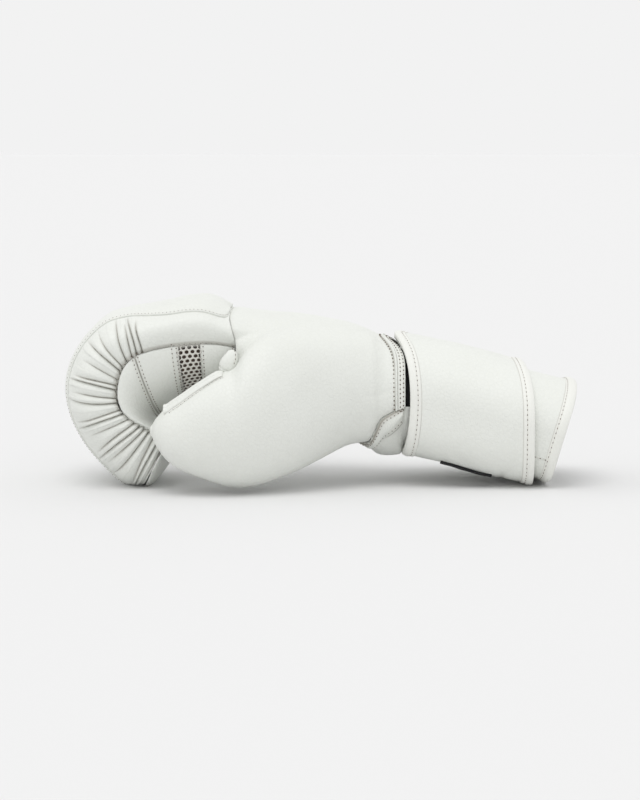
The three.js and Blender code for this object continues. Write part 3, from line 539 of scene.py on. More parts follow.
def sew(name, lines, pitch=2.6 * MM, width=0.24 * MM, hole=0.40 * MM, slit=1.0):
    """Rows of thread along lines on the leather, with dark beads of painted shade for the needle holes
    between the stitches.
    """
    length = STITCH_SHARE * pitch
    between_stitches = pitch / 2
    beads(name + "_thread", lines, Pitch=pitch, Length=length, Width=width, Shift=0.0, Finish=thread)
    beads(
        name + "_holes",
        lines,
        Pitch=pitch,
        Length=hole * slit,
        Width=hole,
        Shift=between_stitches,
        Finish=needle_hole_shade,
    )


pad_seam = piping_route + piping_up * (PIPING_RADIUS * 0.93)
sew("face_pad_seam", [pad_seam], pitch=2.3 * MM, width=0.1 * MM, hole=0.27 * MM)


# Gathered sides: two padded leather panels between the face pad and the palm side. Their long
# edge is drawn together in pleats where it is sewn to the shorter seam of the palm side.
GATHER_ROWS = 640
GATHER_COLUMNS = 38
PLEAT_COUNT = 20
PLEATS_FROM = 0.425
PLEAT_DEPTH = 2.3 * MM
PLEAT_CREST = 1.0 * MM
PLEAT_BEND = 1.4 * MM
PLEAT_SPREAD = 0.22  # how unevenly they are spaced, as a share of their pitch
CREASE_WIDTH = 0.34 * MM
PLEAT_CYCLE = [  # reach as a share of the side's width, depth, and lean in millimetres
    (0.82, 0.9, 1.4),
    (0.98, 1.0, -0.9),
    (0.74, 0.8, 0.8),
    (1.0, 0.95, -1.3),
    (0.88, 0.75, 1.6),
    (0.95, 1.0, -0.7),
    (0.68, 0.65, 0.5),
]
fine = np.linspace(0, LAST_SECTION, 600)
seam_run = arc_lengths(fist_point(fine, 1.0, 1), 0)
corner_run = np.interp(CORNER_END, fine, seam_run)
seam_steps = np.linspace(corner_run, seam_run[-1], GATHER_ROWS - len(corner_positions))
gather_position = np.concatenate([corner_positions, np.interp(seam_steps, seam_run, fine)])[:, None]
gather_share = np.interp(gather_position, fine, seam_run) / seam_run[-1]


def gathered_side(name, node, side):
    """One side: its pleats run from the inner seam out towards the pad, and fade on the way."""
    cross = np.linspace(0, 1, GATHER_COLUMNS)[None, :]
    share = mix(face_share(gather_position) + SEAM_GAP_SHARE, 1 - SEAM_GAP_SHARE, cross)
    outside = fist_point(gather_position, share, side)
    inside = pocket_point(gather_position, share, side)
    normals = outward(outside, inside)
    run = arc_lengths(outside, 0)
    to_seam = edge_distance(outside, 1)
    out = 1 - cross[0]
    draw = np.random.default_rng(17 + side)
    numbers = np.arange(PLEAT_COUNT + 1)
    pitch = (1 - PLEATS_FROM) / PLEAT_COUNT
    centres = PLEATS_FROM + (numbers + draw.uniform(-PLEAT_SPREAD, PLEAT_SPREAD, len(numbers))) * pitch
    reach, depth, lean = np.array([PLEAT_CYCLE[k % len(PLEAT_CYCLE)] for k in numbers]).T
    rows = np.interp(np.clip(centres, 0, 1), gather_share[:, 0], np.arange(GATHER_ROWS))
    lift = np.zeros(outside.shape[:2])
    crease_shade = np.zeros_like(lift)
    for j in range(GATHER_COLUMNS):
        bend = np.sin(2.6 * out[j] + 1.7 * numbers) - np.sin(1.7 * numbers)
        line = np.sort(np.interp(rows, np.arange(GATHER_ROWS), run[:, j]) + PLEAT_BEND * lean * bend)
        after = np.clip(np.searchsorted(line, run[:, j]), 1, PLEAT_COUNT)
        before = after - 1
        between_valleys = (run[:, j] - line[before]) / (line[after] - line[before])
        nearest = np.where(between_valleys < 0.5, before, after)
        fade = np.clip(1 - out[j] / reach[nearest], 0, 1)
        strength = depth[nearest] * np.sin(np.minimum(fade * 1.5, 1) * math.pi / 2)
        crest = np.abs(np.sin(math.pi * np.clip(between_valleys, -0.5, 1.5))) ** 0.5
        lift[:, j] = strength * (PLEAT_CREST * crest - PLEAT_DEPTH * (1 - crest))
        apart = np.abs(run[:, j] - line[nearest])
        # Painted shade in the pleat valleys.
        crease_shade[:, j] = np.minimum(1.1 * strength, 0.9) * np.exp(-((apart / CREASE_WIDTH) ** 1.5))
    wrinkles = np.sin(run / 0.0019 + 3 * unevenness(outside, 0.02, 5))
    near = np.exp(-((1 - cross) / 0.22)) * smoothstep(gather_share, PLEATS_FROM - 0.1, PLEATS_FROM + 0.05)
    lift += 0.22 * MM * wrinkles * near
    lift -= 0.9 * MM * np.exp(-((to_seam / 0.0024) ** 1.4)) + 0.6 * MM * np.exp(-((run / 0.0025) ** 1.4))
    lift += 0.45 * MM * unevenness(outside, 0.03, 7) * smoothstep(to_seam, 0, 0.01)
    # More painted shade along the inner seam, where the leather turns in.
    crease_shade = np.maximum(crease_shade, 0.5 * np.exp(-((1 - cross) * 110.0)))
    outside = outside + normals * lift[..., None]
    outside[..., 2] = np.maximum(outside[..., 2], 0)
    piece = panel(name, outside, inside, white_leather, folds=crease_shade)
    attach(piece, "root")
    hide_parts(node)
    inner_seam = fist_point(gather_position[:, 0], 1.0, side) - [0, side * 0.6 * MM, 0]
    sew(name + "_seam", [inner_seam], pitch=3.1 * MM, width=0.1 * MM, hole=0.34 * MM)


gathered_side("thumb_side_gathered_leather", "thumb_side_gather", -1)
gathered_side("outer_side_gathered_leather", "outer_side_gather", 1)


# Palm-side panels: four thin padded leather pieces that close the finger pocket, sewn edge to
# edge across the fingers. One of them is ventilation net.
PANEL_COLUMNS = 110
PANEL_BREAKS = {  # first and last fist section, rows, how deep the seams are drawn in
    "web_panel": (0.0, 1.64, 36, 0.9 * MM),
    "finger_panel": (2.47, 5.0, 60, 1.2 * MM),
    "fingertip_panel": (5.0, LAST_SECTION, 100, 1.2 * MM),
}
PANEL_GAP = 0.015  # in fist sections
PANEL_INSET = 0.012  # in quarter turns, from the gathered seams
PANEL_SWELL = 0.5 * MM
SEAM_REACH = 3.4 * MM


def fist_side(turn):
    """Turns of 0 to 4 round the fist, as the share and the side that fist_point takes."""
    return np.where(turn > 2, 4 - turn, turn), np.where(turn > 2, -1, 1)


def palm_side_grid(surface, low, high, rows):
    position = np.linspace(low, high, rows)[:, None]
    turn = np.linspace(1 + PANEL_INSET, 3 - PANEL_INSET, PANEL_COLUMNS)[None, :]
    return surface(position, *fist_side(turn))


def pillow(outside, inside, seam_depth):
    """Draw a panel in at its seams and let its middle swell a little."""
    normals = outward(outside, inside)
    lengthways = edge_distance(outside, 0)
    lift = PANEL_SWELL - (seam_depth + PANEL_SWELL) * np.exp(-((lengthways / SEAM_REACH) ** 1.3))
    lift += 0.3 * MM * unevenness(outside, 0.022, 9)
    return outside + normals * lift[..., None]


def inside_edge(points, distance, at_end=False):
    """The line that runs a set distance inside the first or the last row of a grid."""
    rows = points[::-1] if at_end else points
    run = arc_lengths(rows, 0)
    columns = range(rows.shape[1])
    return np.array([[np.interp(distance, run[:, j], rows[:, j, k]) for k in range(3)] for j in columns])


palm_side = {}
for node, (low, high, rows, depth) in PANEL_BREAKS.items():
    low = low if low == 0 else low + PANEL_GAP
    high = high if high == LAST_SECTION else high - PANEL_GAP
    inside = palm_side_grid(pocket_point, low, high, rows)
    outside = pillow(palm_side_grid(fist_point, low, high, rows), inside, depth)
    # Painted shade where the panel is drawn in at its seams.
    seam_shade = 0.7 * np.exp(-((edge_distance(outside, 0) / (0.35 * MM)) ** 1.2))
    piece = panel(node + "_leather", outside, inside, white_leather, folds=seam_shade)
    palm_side[node] = outside
    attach(piece, "root")
    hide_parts(node)
sew(
    "finger_pocket_seams",
    [
        inside_edge(palm_side["web_panel"], 2.0 * MM, at_end=True),
        inside_edge(palm_side["finger_panel"], 1.5 * MM),
        inside_edge(palm_side["finger_panel"], 4.2 * MM),
        inside_edge(palm_side["finger_panel"], 1.7 * MM, at_end=True),
        inside_edge(palm_side["fingertip_panel"], 1.7 * MM),
    ],
    pitch=2.6 * MM,
    width=0.18 * MM,
    hole=0.36 * MM,
)

# The net is a white knitted fabric with round holes, sewn over dark foam.
NET_FROM = 1.64
NET_TO = 2.47
HOLE_PITCH = 3.2 * MM
HOLE_RADIUS = 1.12 * MM
NET_THICKNESS = 0.4 * MM
net_middle = (NET_FROM + NET_TO) / 2
net_turns = np.linspace(1 + PANEL_INSET, 3 - PANEL_INSET, 400)
net_line = fist_point(net_middle, *fist_side(net_turns))
net_across = arc_lengths(net_line, 0)
side_line = fist_point(np.linspace(NET_FROM, NET_TO, 30), 1.4, -1)
net_length = arc_lengths(side_line, 0)[-1]


def on_net(along, over, depth):
    """Places on the net: along the fist and over it, from the net's middle, and under it."""
    position = net_middle + along / net_length * (NET_TO - NET_FROM)
    turn = np.interp(over + net_across[-1] / 2, net_across, net_turns)
    share, side = fist_side(turn)
    surface = fist_point(position, share, side)
    return surface + (pocket_point(position, share, side) - surface) * depth


# Each cell of the net is a hexagon with a round hole, drawn with twelve corners each.
CELL_CORNERS = 12
cell_degrees = np.arange(0, 360, 360 // CELL_CORNERS)
cell_reach = HOLE_PITCH / 2 / np.cos(np.radians((cell_degrees + 30) % 60 - 30))
cell_ring = np.stack([np.cos(np.radians(cell_degrees)), np.sin(np.radians(cell_degrees))], axis=-1)
cell_outline = cell_reach[:, None] * cell_ring
hole_outline = HOLE_RADIUS * cell_ring
cells = []
for i in range(-4, 5):
    for j in range(-40, 41):
        middle = np.array([(i + 0.5 * (j % 2)) * HOLE_PITCH, j * HOLE_PITCH * math.sqrt(0.75)])
        reach = np.array([net_length / 2 + 0.3 * HOLE_PITCH, net_across[-1] / 2])
        if np.all(np.abs(middle) < reach):
            cells.append(middle)
cells = np.array(cells)
flat = (cells[:, None] + np.concatenate([cell_outline, hole_outline])[None]).reshape(-1, 2)
net_places = on_net(flat[:, 0], flat[:, 1], 0.02)
corner = np.arange(CELL_CORNERS)
next_corner = (corner + 1) % CELL_CORNERS
cell_faces = np.stack([corner, next_corner, next_corner + CELL_CORNERS, corner + CELL_CORNERS], axis=-1)
net_faces = (cell_faces[None] + 2 * CELL_CORNERS * np.arange(len(cells))[:, None, None]).reshape(-1, 4)

net_finish = Finish("white_net")
net_place = net_finish.place()
knit = net_finish.node("ShaderNodeTexWave", {"bands_direction": "DIAGONAL"}, Vector=net_place, Scale=700.0)
net_tone = net_finish.blend(knit, (0.80, 0.79, 0.75, 1), (0.62, 0.60, 0.55, 1))
net_bump = net_finish.node("ShaderNodeBump", None, Strength=0.8, Distance=0.1 * MM, Height=knit)
white_net = net_finish.surface(Base_Color=net_tone, Roughness=0.75, Normal=net_bump)
foam_finish = Finish("dark_foam")
foam_place = foam_finish.place()
foam_grain = foam_finish.node("ShaderNodeTexNoise", None, Vector=foam_place, Scale=900.0, Detail=3.0)
foam_tone = foam_finish.blend(foam_grain, (0.035, 0.024, 0.018, 1), (0.10, 0.07, 0.055, 1))
dark_foam = foam_finish.surface(Base_Color=foam_tone, Roughness=0.95)


def skin_piece(name, patches, thickness, finish, shape=None, behind=None):
    """A skin of one or more patches with common edges, shaped and then thickened inwards."""
    vertices, faces, start = [], [], 0
    for points, patch in patches:
        vertices.append(points.reshape(-1, 3))
        if isinstance(patch, bool):
            patch = grid_faces(points.shape[0], points.shape[1], patch)
        faces.append(patch + start)
        start += len(vertices[-1])
    piece = new_piece(name, np.concatenate(vertices), np.concatenate(faces), finish)
    work = bmesh.new()
    work.from_mesh(piece.data)
    bmesh.ops.remove_doubles(work, verts=work.verts, dist=2e-5)
    bmesh.ops.recalc_face_normals(work, faces=work.faces)
    if behind is None:
        behind = sum((v.co for v in work.verts), Vector()) / len(work.verts)
    if sum(f.calc_area() * f.normal.dot(f.calc_center_median() - behind) for f in work.faces) < 0:
        bmesh.ops.reverse_faces(work, faces=work.faces)
    work.normal_update()
    if shape is not None:
        points = np.array([v.co for v in work.verts])
        normals = np.array([v.normal for v in work.verts])
        lift, fold = shape(points)
        moved = points + normals * lift[:, None]
        moved[:, 2] = np.maximum(moved[:, 2], 0)
        for vertex, place in zip(work.verts, moved):
            vertex.co = place
    work.to_mesh(piece.data)
    work.free()
    # The shape's second result is a mask of painted shade in its folds and tucks.
    if shape is not None:
        depth = piece.data.attributes.new("fold", "FLOAT", "POINT")
        depth.data.foreach_set("value", np.asarray(fold, np.float32))
    wall = piece.modifiers.new("thickness", "SOLIDIFY")
    wall.thickness = thickness
    wall.offset = -1
    wall.use_even_offset = False
    return piece


above_net = Vector(in_frame(WEB_X - FIST_LENGTH / 2, 0, GLOVE_HEIGHT * 1.6))
net = skin_piece("net_fabric", [(net_places, net_faces)], NET_THICKNESS, white_net, behind=above_net)
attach(net, "root")
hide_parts("mesh_panel")
foam_out = palm_side_grid(fist_point, NET_FROM + PANEL_GAP, NET_TO - PANEL_GAP, 16)
foam_in = palm_side_grid(pocket_point, NET_FROM + PANEL_GAP, NET_TO - PANEL_GAP, 16)
FOAM_DEPTH = 0.16
foam = panel("net_foam", mix(foam_out, foam_in, FOAM_DEPTH), foam_in, dark_foam)
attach(foam, "root")


# Fingertip roll: the closed, rounded end of the fist, where the pad and the sides are gathered
# into the seam.
ROLL_RINGS = 34
ROLL_COLUMNS = 120
ROLL_ROUND = 0.0040
ring_turn = np.linspace(0, 4, ROLL_COLUMNS, endpoint=False)
ring_share, ring_side = fist_side(ring_turn)
ring = fist_point(float(LAST_SECTION), ring_share, -ring_side)
line_x, line_z, _ = fist_lines(float(LAST_SECTION))
roll_centre = in_frame((line_x[0] + line_x[2]) / 2, 0, (line_z[0] + line_z[2]) / 2)
lengthways = np.array([line_x[2] - line_x[0], 0, line_z[2] - line_z[0]])
lengthways /= np.linalg.norm(lengthways)
forward = np.array([lengthways[2], 0, -lengthways[0]])
bow = np.linspace(0, 1, ROLL_RINGS)[:, None]
shrink = np.cos(bow * math.pi / 2) ** 0.8
roll_outside = roll_centre + (ring - roll_centre)[None] * shrink[..., None]
swell = 0.9 * MM + ROLL_ROUND * np.sin(bow * math.pi / 2) ** 0.9
swell = swell + 0.35 * MM * np.sin(ring_turn[None, :] * 16) * np.exp(-bow / 0.18) * np.sin(bow * 9)
roll_outside = roll_outside + forward * swell[..., None]
roll_outside[..., 2] = np.maximum(roll_outside[..., 2], 0)
roll_depth = 0.3 * MM + (roll_outside - roll_outside[:1]) @ forward
roll_inside = roll_outside - forward * roll_depth[..., None] * 0.85
roll = panel("fingertip_roll_leather", roll_outside, roll_inside, white_leather, closed=True)
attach(roll, "root")
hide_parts("fingertip_roll")


# Hand shell: one panel of leather over foam, stretched over the back of the hand, the outer
# side and the whole thumb. It is tucked under where it meets the fist, the palm and the wrist.
GAP = 0.4 * MM
HAND_LENGTH = 0.099
WRIST_WIDTH = 0.076
THUMB_REACH = 0.0485
THUMB_THICKNESS = 0.056
FRONT_WIDTH_SHARE = 0.955
HAND_SHAPE = 2.35
THUMB_SHAPE = 2.15
WRIST_DIP = 0.0080
HAND_SECTIONS = np.array([
    # at, top, bottom, to wrist, thumb edge, outer edge: shares, and degrees for the edges
    (0.0, 0.925, 0.468, 0.0, 245, -32),
    (0.19, 0.914, 0.42, 0.08, 245, -32),
    (0.39, 0.896, 0.355, 0.25, 242, -32),
    (0.6, 0.865, 0.292, 0.5, 238, -32),
    (0.72, 0.838, 0.247, 0.7, 228, -32),
    (0.86, 0.8, 0.19, 0.88, 200, -22),
    (1.0, 0.755, 0.195, 1.0, 186, -10),
])
THUMB_SECTIONS = np.array([
    # ahead of the web plane, behind it, low, high, inner side, thickness
    (0, 0.84, 0.262, 0.76, 0.04, 0.62),
    (0, 0.66, 0.222, 0.79, 0.143, 0.77),
    (0, 0.49, 0.153, 0.815, 0.25, 0.888),
    (0, 0.34, 0.095, 0.83, 0.357, 0.96),
    (0, 0.19, 0.05, 0.82, 0.446, 0.99),
    (0, 0.07, 0.029, 0.76, 0.5, 0.99),
    (0.02, 0, 0.03, 0.66, 0.554, 0.955),
    (0.185, 0, 0.048, 0.635, 0.643, 0.875),
    (0.41, 0, 0.086, 0.577, 0.732, 0.777),
    (0.62, 0, 0.126, 0.514, 0.804, 0.66),
    (0.8, 0, 0.18, 0.459, 0.866, 0.536),
    (0.93, 0, 0.252, 0.4, 0.955, 0.33),
    (0.985, 0, 0.3, 0.362, 1.02, 0.15),
])
LAST_HAND = len(HAND_SECTIONS) - 1
LAST_THUMB = len(THUMB_SECTIONS) - 1
SHELL_THICKNESS = 2.4 * MM


def superellipse(section, turn):
    """Across and up places of a section at turns from +Y over the top, in radians."""
    centre_y, centre_z, half_width, half_height, shape = section[:5]
    c, s = np.cos(turn), np.sin(turn)
    shape = np.where(s < 0, section[-1], shape)
    y = centre_y + np.sign(c) * np.abs(c) ** (2 / shape) * half_width
    z = centre_z + np.sign(s) * np.abs(s) ** (2 / shape) * half_height
    return y, z


def hand_section(position):
    rows = between(HAND_SECTIONS, position)
    top, bottom = rows[..., 1] * GLOVE_HEIGHT, rows[..., 2] * GLOVE_HEIGHT
    width = mix(FIST_WIDTH * FRONT_WIDTH_SHARE, WRIST_WIDTH, rows[..., 3])
    return 0 * top, (top + bottom) / 2, width / 2, (top - bottom) / 2, HAND_SHAPE


def hand_x(position):
    return WEB_X + GAP + between(HAND_SECTIONS, position)[..., 0] * (HAND_LENGTH - GAP)


def thumb_section(position):
    rows = between(THUMB_SECTIONS, position)
    low, high = rows[..., 2] * GLOVE_HEIGHT, rows[..., 3] * GLOVE_HEIGHT
    thick = rows[..., 5] * THUMB_THICKNESS
    centre = -rows[..., 4] * FIST_WIDTH / 2 - thick / 2
    return centre, (low + high) / 2, thick / 2, (high - low) / 2, THUMB_SHAPE


def thumb_x(position):
    rows = between(THUMB_SECTIONS, position)
    return WEB_X - rows[..., 0] * THUMB_REACH + rows[..., 1] * HAND_LENGTH


fine_hand = np.linspace(0, LAST_HAND, 400)
fine_thumb = np.linspace(0, LAST_THUMB, 800)


def hand_position(x):
    return np.interp(x, hand_x(fine_hand), fine_hand)


def thumb_position(x):
    return np.interp(-np.asarray(x), -thumb_x(fine_thumb), fine_thumb)


def wrist_dip(sine):
    """How far the wrist edge runs back towards the fingers over the top."""
    return -WRIST_DIP * np.maximum(sine, 0) ** 7


# The skin is drawn on rays from an axis that runs inside both the hand and the thumb.
AXIS_X = np.array([-49, -30, -10, 10, 30, 50]) * MM
AXIS_Y = np.array([-39, -30, -22, -14, -8, -5]) * MM
AXIS_Z = np.array([62, 64, 62, 60, 58, 56]) * MM
full_turn = np.linspace(0, 2 * math.pi, 1441)


def seen_from_axis(section, x):
    """A section's polar angles about the axis, and its radii."""
    y, z = superellipse(section, full_turn)
    y, z = y - np.interp(x, AXIS_X, AXIS_Y), z - np.interp(x, AXIS_X, AXIS_Z)
    angle = np.unwrap(np.arctan2(z, y))
    return angle, np.hypot(y, z)


def read_ring(ring_angle, values, angles):
    return np.interp(angles, ring_angle, values, period=2 * math.pi)


SHELL_ROWS = 104
OVER_COLUMNS = 84
THUMB_COLUMNS = 100
PALM_COLUMNS = 64
row_share = np.linspace(0, 1, SHELL_ROWS)
shell_x = WEB_X + GAP + (HAND_LENGTH - GAP) * row_share
scan = np.radians(np.arange(60, 420, 0.25))
thumb_ends_x = thumb_x(0.0)
upper, lower, outer = [], [], []
for x in shell_x:
    section = hand_section(hand_position(x))
    hand_angle, hand_radius = seen_from_axis(section, x)
    edges = between(HAND_SECTIONS, hand_position(x))
    outer_angle = read_ring(full_turn, hand_angle, math.radians(edges[5]) % (2 * math.pi))
    thumb_edge = read_ring(full_turn, hand_angle, math.radians(edges[4]))
    outer_angle = (outer_angle + math.pi) % (2 * math.pi) - math.pi
    thumb_edge = thumb_edge % (2 * math.pi)
    over = []
    if x < thumb_ends_x:
        thumb_angle, thumb_radius = seen_from_axis(thumb_section(thumb_position(x)), x)
        proud = read_ring(thumb_angle, thumb_radius, scan) > read_ring(hand_angle, hand_radius, scan)
        over = scan[proud]
    outer.append(outer_angle)
    upper.append(over[0] if len(over) else np.nan)
    lower.append(max(over[-1], thumb_edge) if len(over) else thumb_edge)
upper, lower, outer = np.array(upper), np.array(lower), np.array(outer)
known = ~np.isnan(upper)
upper = np.interp(shell_x, shell_x[known], upper[known])


def smoothed(line, reach):
    """A line of values, evened out along its length with its two ends kept."""
    kernel = np.hanning(2 * reach + 3)[1:-1]
    padded = np.concatenate([2 * line[0] - line[reach:0:-1], line, 2 * line[-1] - line[-2:-reach - 2:-1]])
    return np.convolve(padded, kernel / kernel.sum(), mode="valid")


upper, lower, outer = smoothed(upper, 5), smoothed(lower, 7), smoothed(outer, 5)


# At the web the shell and the palm are drawn to the fist's own outline, so that no slit is left.
FLARE_LENGTH = 0.009
THUMB_BLEND = 0.013
SINK_AT_WRIST = 0.03  # takes the thumb's round well below the hand's where the thumb has ended
fist_turn = np.linspace(-2, 1, 271)
fist_ring = fist_point(0.0, np.abs(fist_turn), np.sign(-fist_turn)) - ORIGIN
fist_y = fist_ring[:, 1] - np.interp(WEB_X, AXIS_X, AXIS_Y)
fist_z = fist_ring[:, 2] - np.interp(WEB_X, AXIS_X, AXIS_Z)
fist_angle, fist_radius = np.arctan2(fist_z, fist_y), np.hypot(fist_y, fist_z)
gather_angle = np.interp(-1, fist_turn, fist_angle)


def skin(angles):
    """The leather over hand and thumb, at one row of ray angles for each shell row."""
    places = []
    for x, row in zip(shell_x, angles):
        hand_angle, hand_radius = seen_from_axis(hand_section(hand_position(x)), x)
        radius = read_ring(hand_angle, hand_radius, row)
        flare = math.exp(-(((x - WEB_X) / FLARE_LENGTH) ** 2))
        ray = (row + math.pi) % (2 * math.pi) - math.pi
        seam = np.interp(ray, fist_angle, fist_radius, right=0)
        under = np.minimum(radius, fist_z[0] / np.minimum(np.sin(ray), -0.01))
        seam = np.where(ray < fist_angle[0], under, seam)
        drawn_in = 1 - smoothstep(ray, gather_angle - 0.1, gather_angle + 0.2)
        radius = mix(radius, mix(np.maximum(radius, seam), seam, drawn_in), flare)
        sine = read_ring(hand_angle, np.sin(full_turn), row)
        section = thumb_section(thumb_position(min(x, thumb_ends_x)))
        thumb_angle, thumb_radius = seen_from_axis(section, x)
        fades = smoothstep(x, thumb_ends_x - 0.004, HAND_LENGTH + WEB_X)
        other = read_ring(thumb_angle, thumb_radius, row) - SINK_AT_WRIST * fades
        blend = THUMB_BLEND * smoothstep(x, WEB_X, WEB_X + 0.03) + 1e-6
        near = np.maximum(blend - np.abs(radius - other), 0) / blend
        radius = np.maximum(radius, other) + near**2 * blend / 4
        ramp = np.maximum(0, hand_position(x) - LAST_HAND + 2) / 2
        y = np.interp(x, AXIS_X, AXIS_Y) + radius * np.cos(row)
        z = np.interp(x, AXIS_X, AXIS_Z) + radius * np.sin(row)
        places.append(in_frame(x + wrist_dip(sine) * ramp, y, z))
    return np.array(places)


over_share = np.linspace(0, 1, OVER_COLUMNS)[None, :-1]
thumb_share = np.linspace(0, 1, THUMB_COLUMNS)[None, :]
shell_angles = np.concatenate([
    mix(outer[:, None], upper[:, None], over_share),
    mix(upper[:, None], lower[:, None], thumb_share),
], axis=1)
hand_skin = skin(shell_angles)

# Ahead of the web plane the thumb goes on alone, first on the same columns and then inside.
TIP_ROWS = 58
INNER_COLUMNS = 46
thumb_angle, thumb_radius = seen_from_axis(thumb_section(thumb_position(shell_x[0])), shell_x[0])
front_angles = mix(upper[0], lower[0], thumb_share[0])
front_angles = (front_angles - thumb_angle[0]) % (2 * math.pi) + thumb_angle[0]
front_turns = np.unwrap(np.interp(front_angles, thumb_angle, full_turn))
inner_turns = np.linspace(front_turns[-1], front_turns[0] + 2 * math.pi, INNER_COLUMNS)[1:-1]
tip_turns = np.concatenate([front_turns, inner_turns])
web_position = thumb_position(shell_x[0])
tip_share = np.linspace(0, 1, TIP_ROWS)
tip_position = mix(web_position, LAST_THUMB, tip_share)
tip_rings = []
for position in tip_position:
    y, z = superellipse(thumb_section(position), tip_turns)
    tip_rings.append(in_frame(thumb_x(position), y, z))
last_y, last_z = thumb_section(float(LAST_THUMB))[:2]
tip_end = in_frame(thumb_x(float(LAST_THUMB)), last_y, last_z)
CAP_BULGE = 1.3 * MM
for turn in np.linspace(0, math.pi / 2, 7)[1:]:
    ring = tip_end + (tip_rings[TIP_ROWS - 1] - tip_end) * max(math.cos(turn), 0.02)
    tip_rings.append(ring - [CAP_BULGE * math.sin(turn), 0, 0])
tip_skin = np.array(tip_rings)
tip_skin[0, :THUMB_COLUMNS] = hand_skin[0, OVER_COLUMNS - 1:]


def line_distance(points, line):
    """How far each point lies from the nearest point of a fine line."""
    nearest = np.full(len(points), 1e9)
    for start in range(0, len(line), 64):
        apart = points[:, None] - line[None, start:start + 64]
        nearest = np.minimum(nearest, np.linalg.norm(apart, axis=-1).min(axis=1))
    return nearest


def shell_shape(points):
    to_web = line_distance(points, hand_skin[0, :OVER_COLUMNS])
    to_palm = line_distance(points, hand_skin[::2, -1])
    to_outer = line_distance(points, hand_skin[::2, 0])
    x = points[:, 0] - ORIGIN[0]
    lift = -0.6 * MM * np.exp(-((to_web / 0.0030) ** 1.3))
    lift -= 1.2 * MM * np.exp(-((to_palm / 0.0028) ** 1.3))
    lift -= 1.2 * MM * np.exp(-((to_outer / 0.0028) ** 1.3))
    broad = unevenness(points, 0.055, 21)
    small = unevenness(points, 0.019, 22)
    near_wrist = smoothstep(x, 0.012, 0.045)
    lift += 0.45 * MM * broad + 0.16 * MM * small
    pulls = np.maximum(np.sin((points[:, 2] + 0.25 * points[:, 1]) / 0.0026 + 2.5 * broad), 0) ** 3
    lift -= 0.35 * MM * pulls * near_wrist * smoothstep(small, -0.2, 0.7)
    # The second result is painted shade in the tuck along the web seam.
    return lift, np.exp(-to_web / 0.0012) * 0.2


shell_patches = [(hand_skin, False), (tip_skin, True)]
hand_shell = skin_piece("hand_shell_leather", shell_patches, SHELL_THICKNESS, white_leather, shell_shape)
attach(hand_shell, "root")
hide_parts("hand_shell", "thumb_shell")


# Thumb seam: a flat welt of folded leather along the top of the thumb, which ends in a small tab.
# At its root a padded roll of leather ties the thumb to the side of the hand.
WELT_FROM = 6.75
WELT_TO = 10.15
WELT_WIDTH = 10.0 * MM
WELT_HEIGHT = 1.9 * MM
TAB_HEIGHT = 2.6 * MM


def thumb_surface(position, distance, height):
    """Places at a distance down the near side of the thumb from its top line, and over it."""
    turns = np.radians(np.linspace(70, 170, 300))
    places = []
    for stop in position:
        y, z = superellipse(thumb_section(stop), turns)
        run = np.concatenate([[0], np.cumsum(np.hypot(np.diff(y), np.diff(z)))])
        run = run - np.interp(math.pi / 2, turns, run)
        slope_y, slope_z = np.gradient(y), np.gradient(z)
        size = np.hypot(slope_y, slope_z)
        row = [np.interp(distance, run, line) for line in (y, z, slope_z / size, -slope_y / size)]
        places.append(in_frame(thumb_x(stop), row[0] + height * row[2], row[1] + height * row[3]))
    return np.array(places)


welt_along = np.linspace(WELT_FROM, WELT_TO, 120)
welt_cross = np.linspace(0, 1, 31)
folded = np.abs(np.sin(2 * math.pi * welt_cross**1.35)) ** 0.6
lobes = np.sin(math.pi * welt_cross) ** 0.6 * (0.22 + 0.78 * folded)
welt_low = thumb_surface(welt_along, mix(-0.5 * MM, WELT_WIDTH, welt_cross), -0.4 * MM)
welt_base = thumb_surface(welt_along, mix(-0.5 * MM, WELT_WIDTH, welt_cross), 0.0)
tab = smoothstep(welt_along, WELT_TO - 0.30, WELT_TO - 0.10)[:, None]
welt_lift = mix(WELT_HEIGHT * lobes[None], TAB_HEIGHT * np.sqrt(lobes)[None], tab)
welt_lift *= smoothstep(welt_along, WELT_FROM - 0.05, WELT_FROM + 0.35)[:, None]
welt_lift *= np.sqrt(1 - smoothstep(welt_along, WELT_TO - 0.08, WELT_TO + 0.01))[:, None]
welt_high = welt_base + outward(welt_base, welt_low) * welt_lift[..., None]
# Painted shade along both edges of the welt.
welt_edge_shade = 0.25 * np.exp(-((np.minimum(welt_cross, 1 - welt_cross) / 0.03) ** 2))
welt_edge_shade = welt_edge_shade * np.ones((len(welt_along), 1))
welt = panel("thumb_seam_welt", welt_high, welt_low, white_leather, folds=welt_edge_shade)
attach(welt, "root")
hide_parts("thumb_welt")
seam_along = np.linspace(WELT_FROM, WELT_TO - 0.5, 90)
below_welt = thumb_surface(seam_along, np.array([WELT_WIDTH + 1.6 * MM]), 0.05 * MM)
sew("thumb_seam", [below_welt[:, 0]], pitch=2.6 * MM, width=0.2 * MM, hole=0.24 * MM)

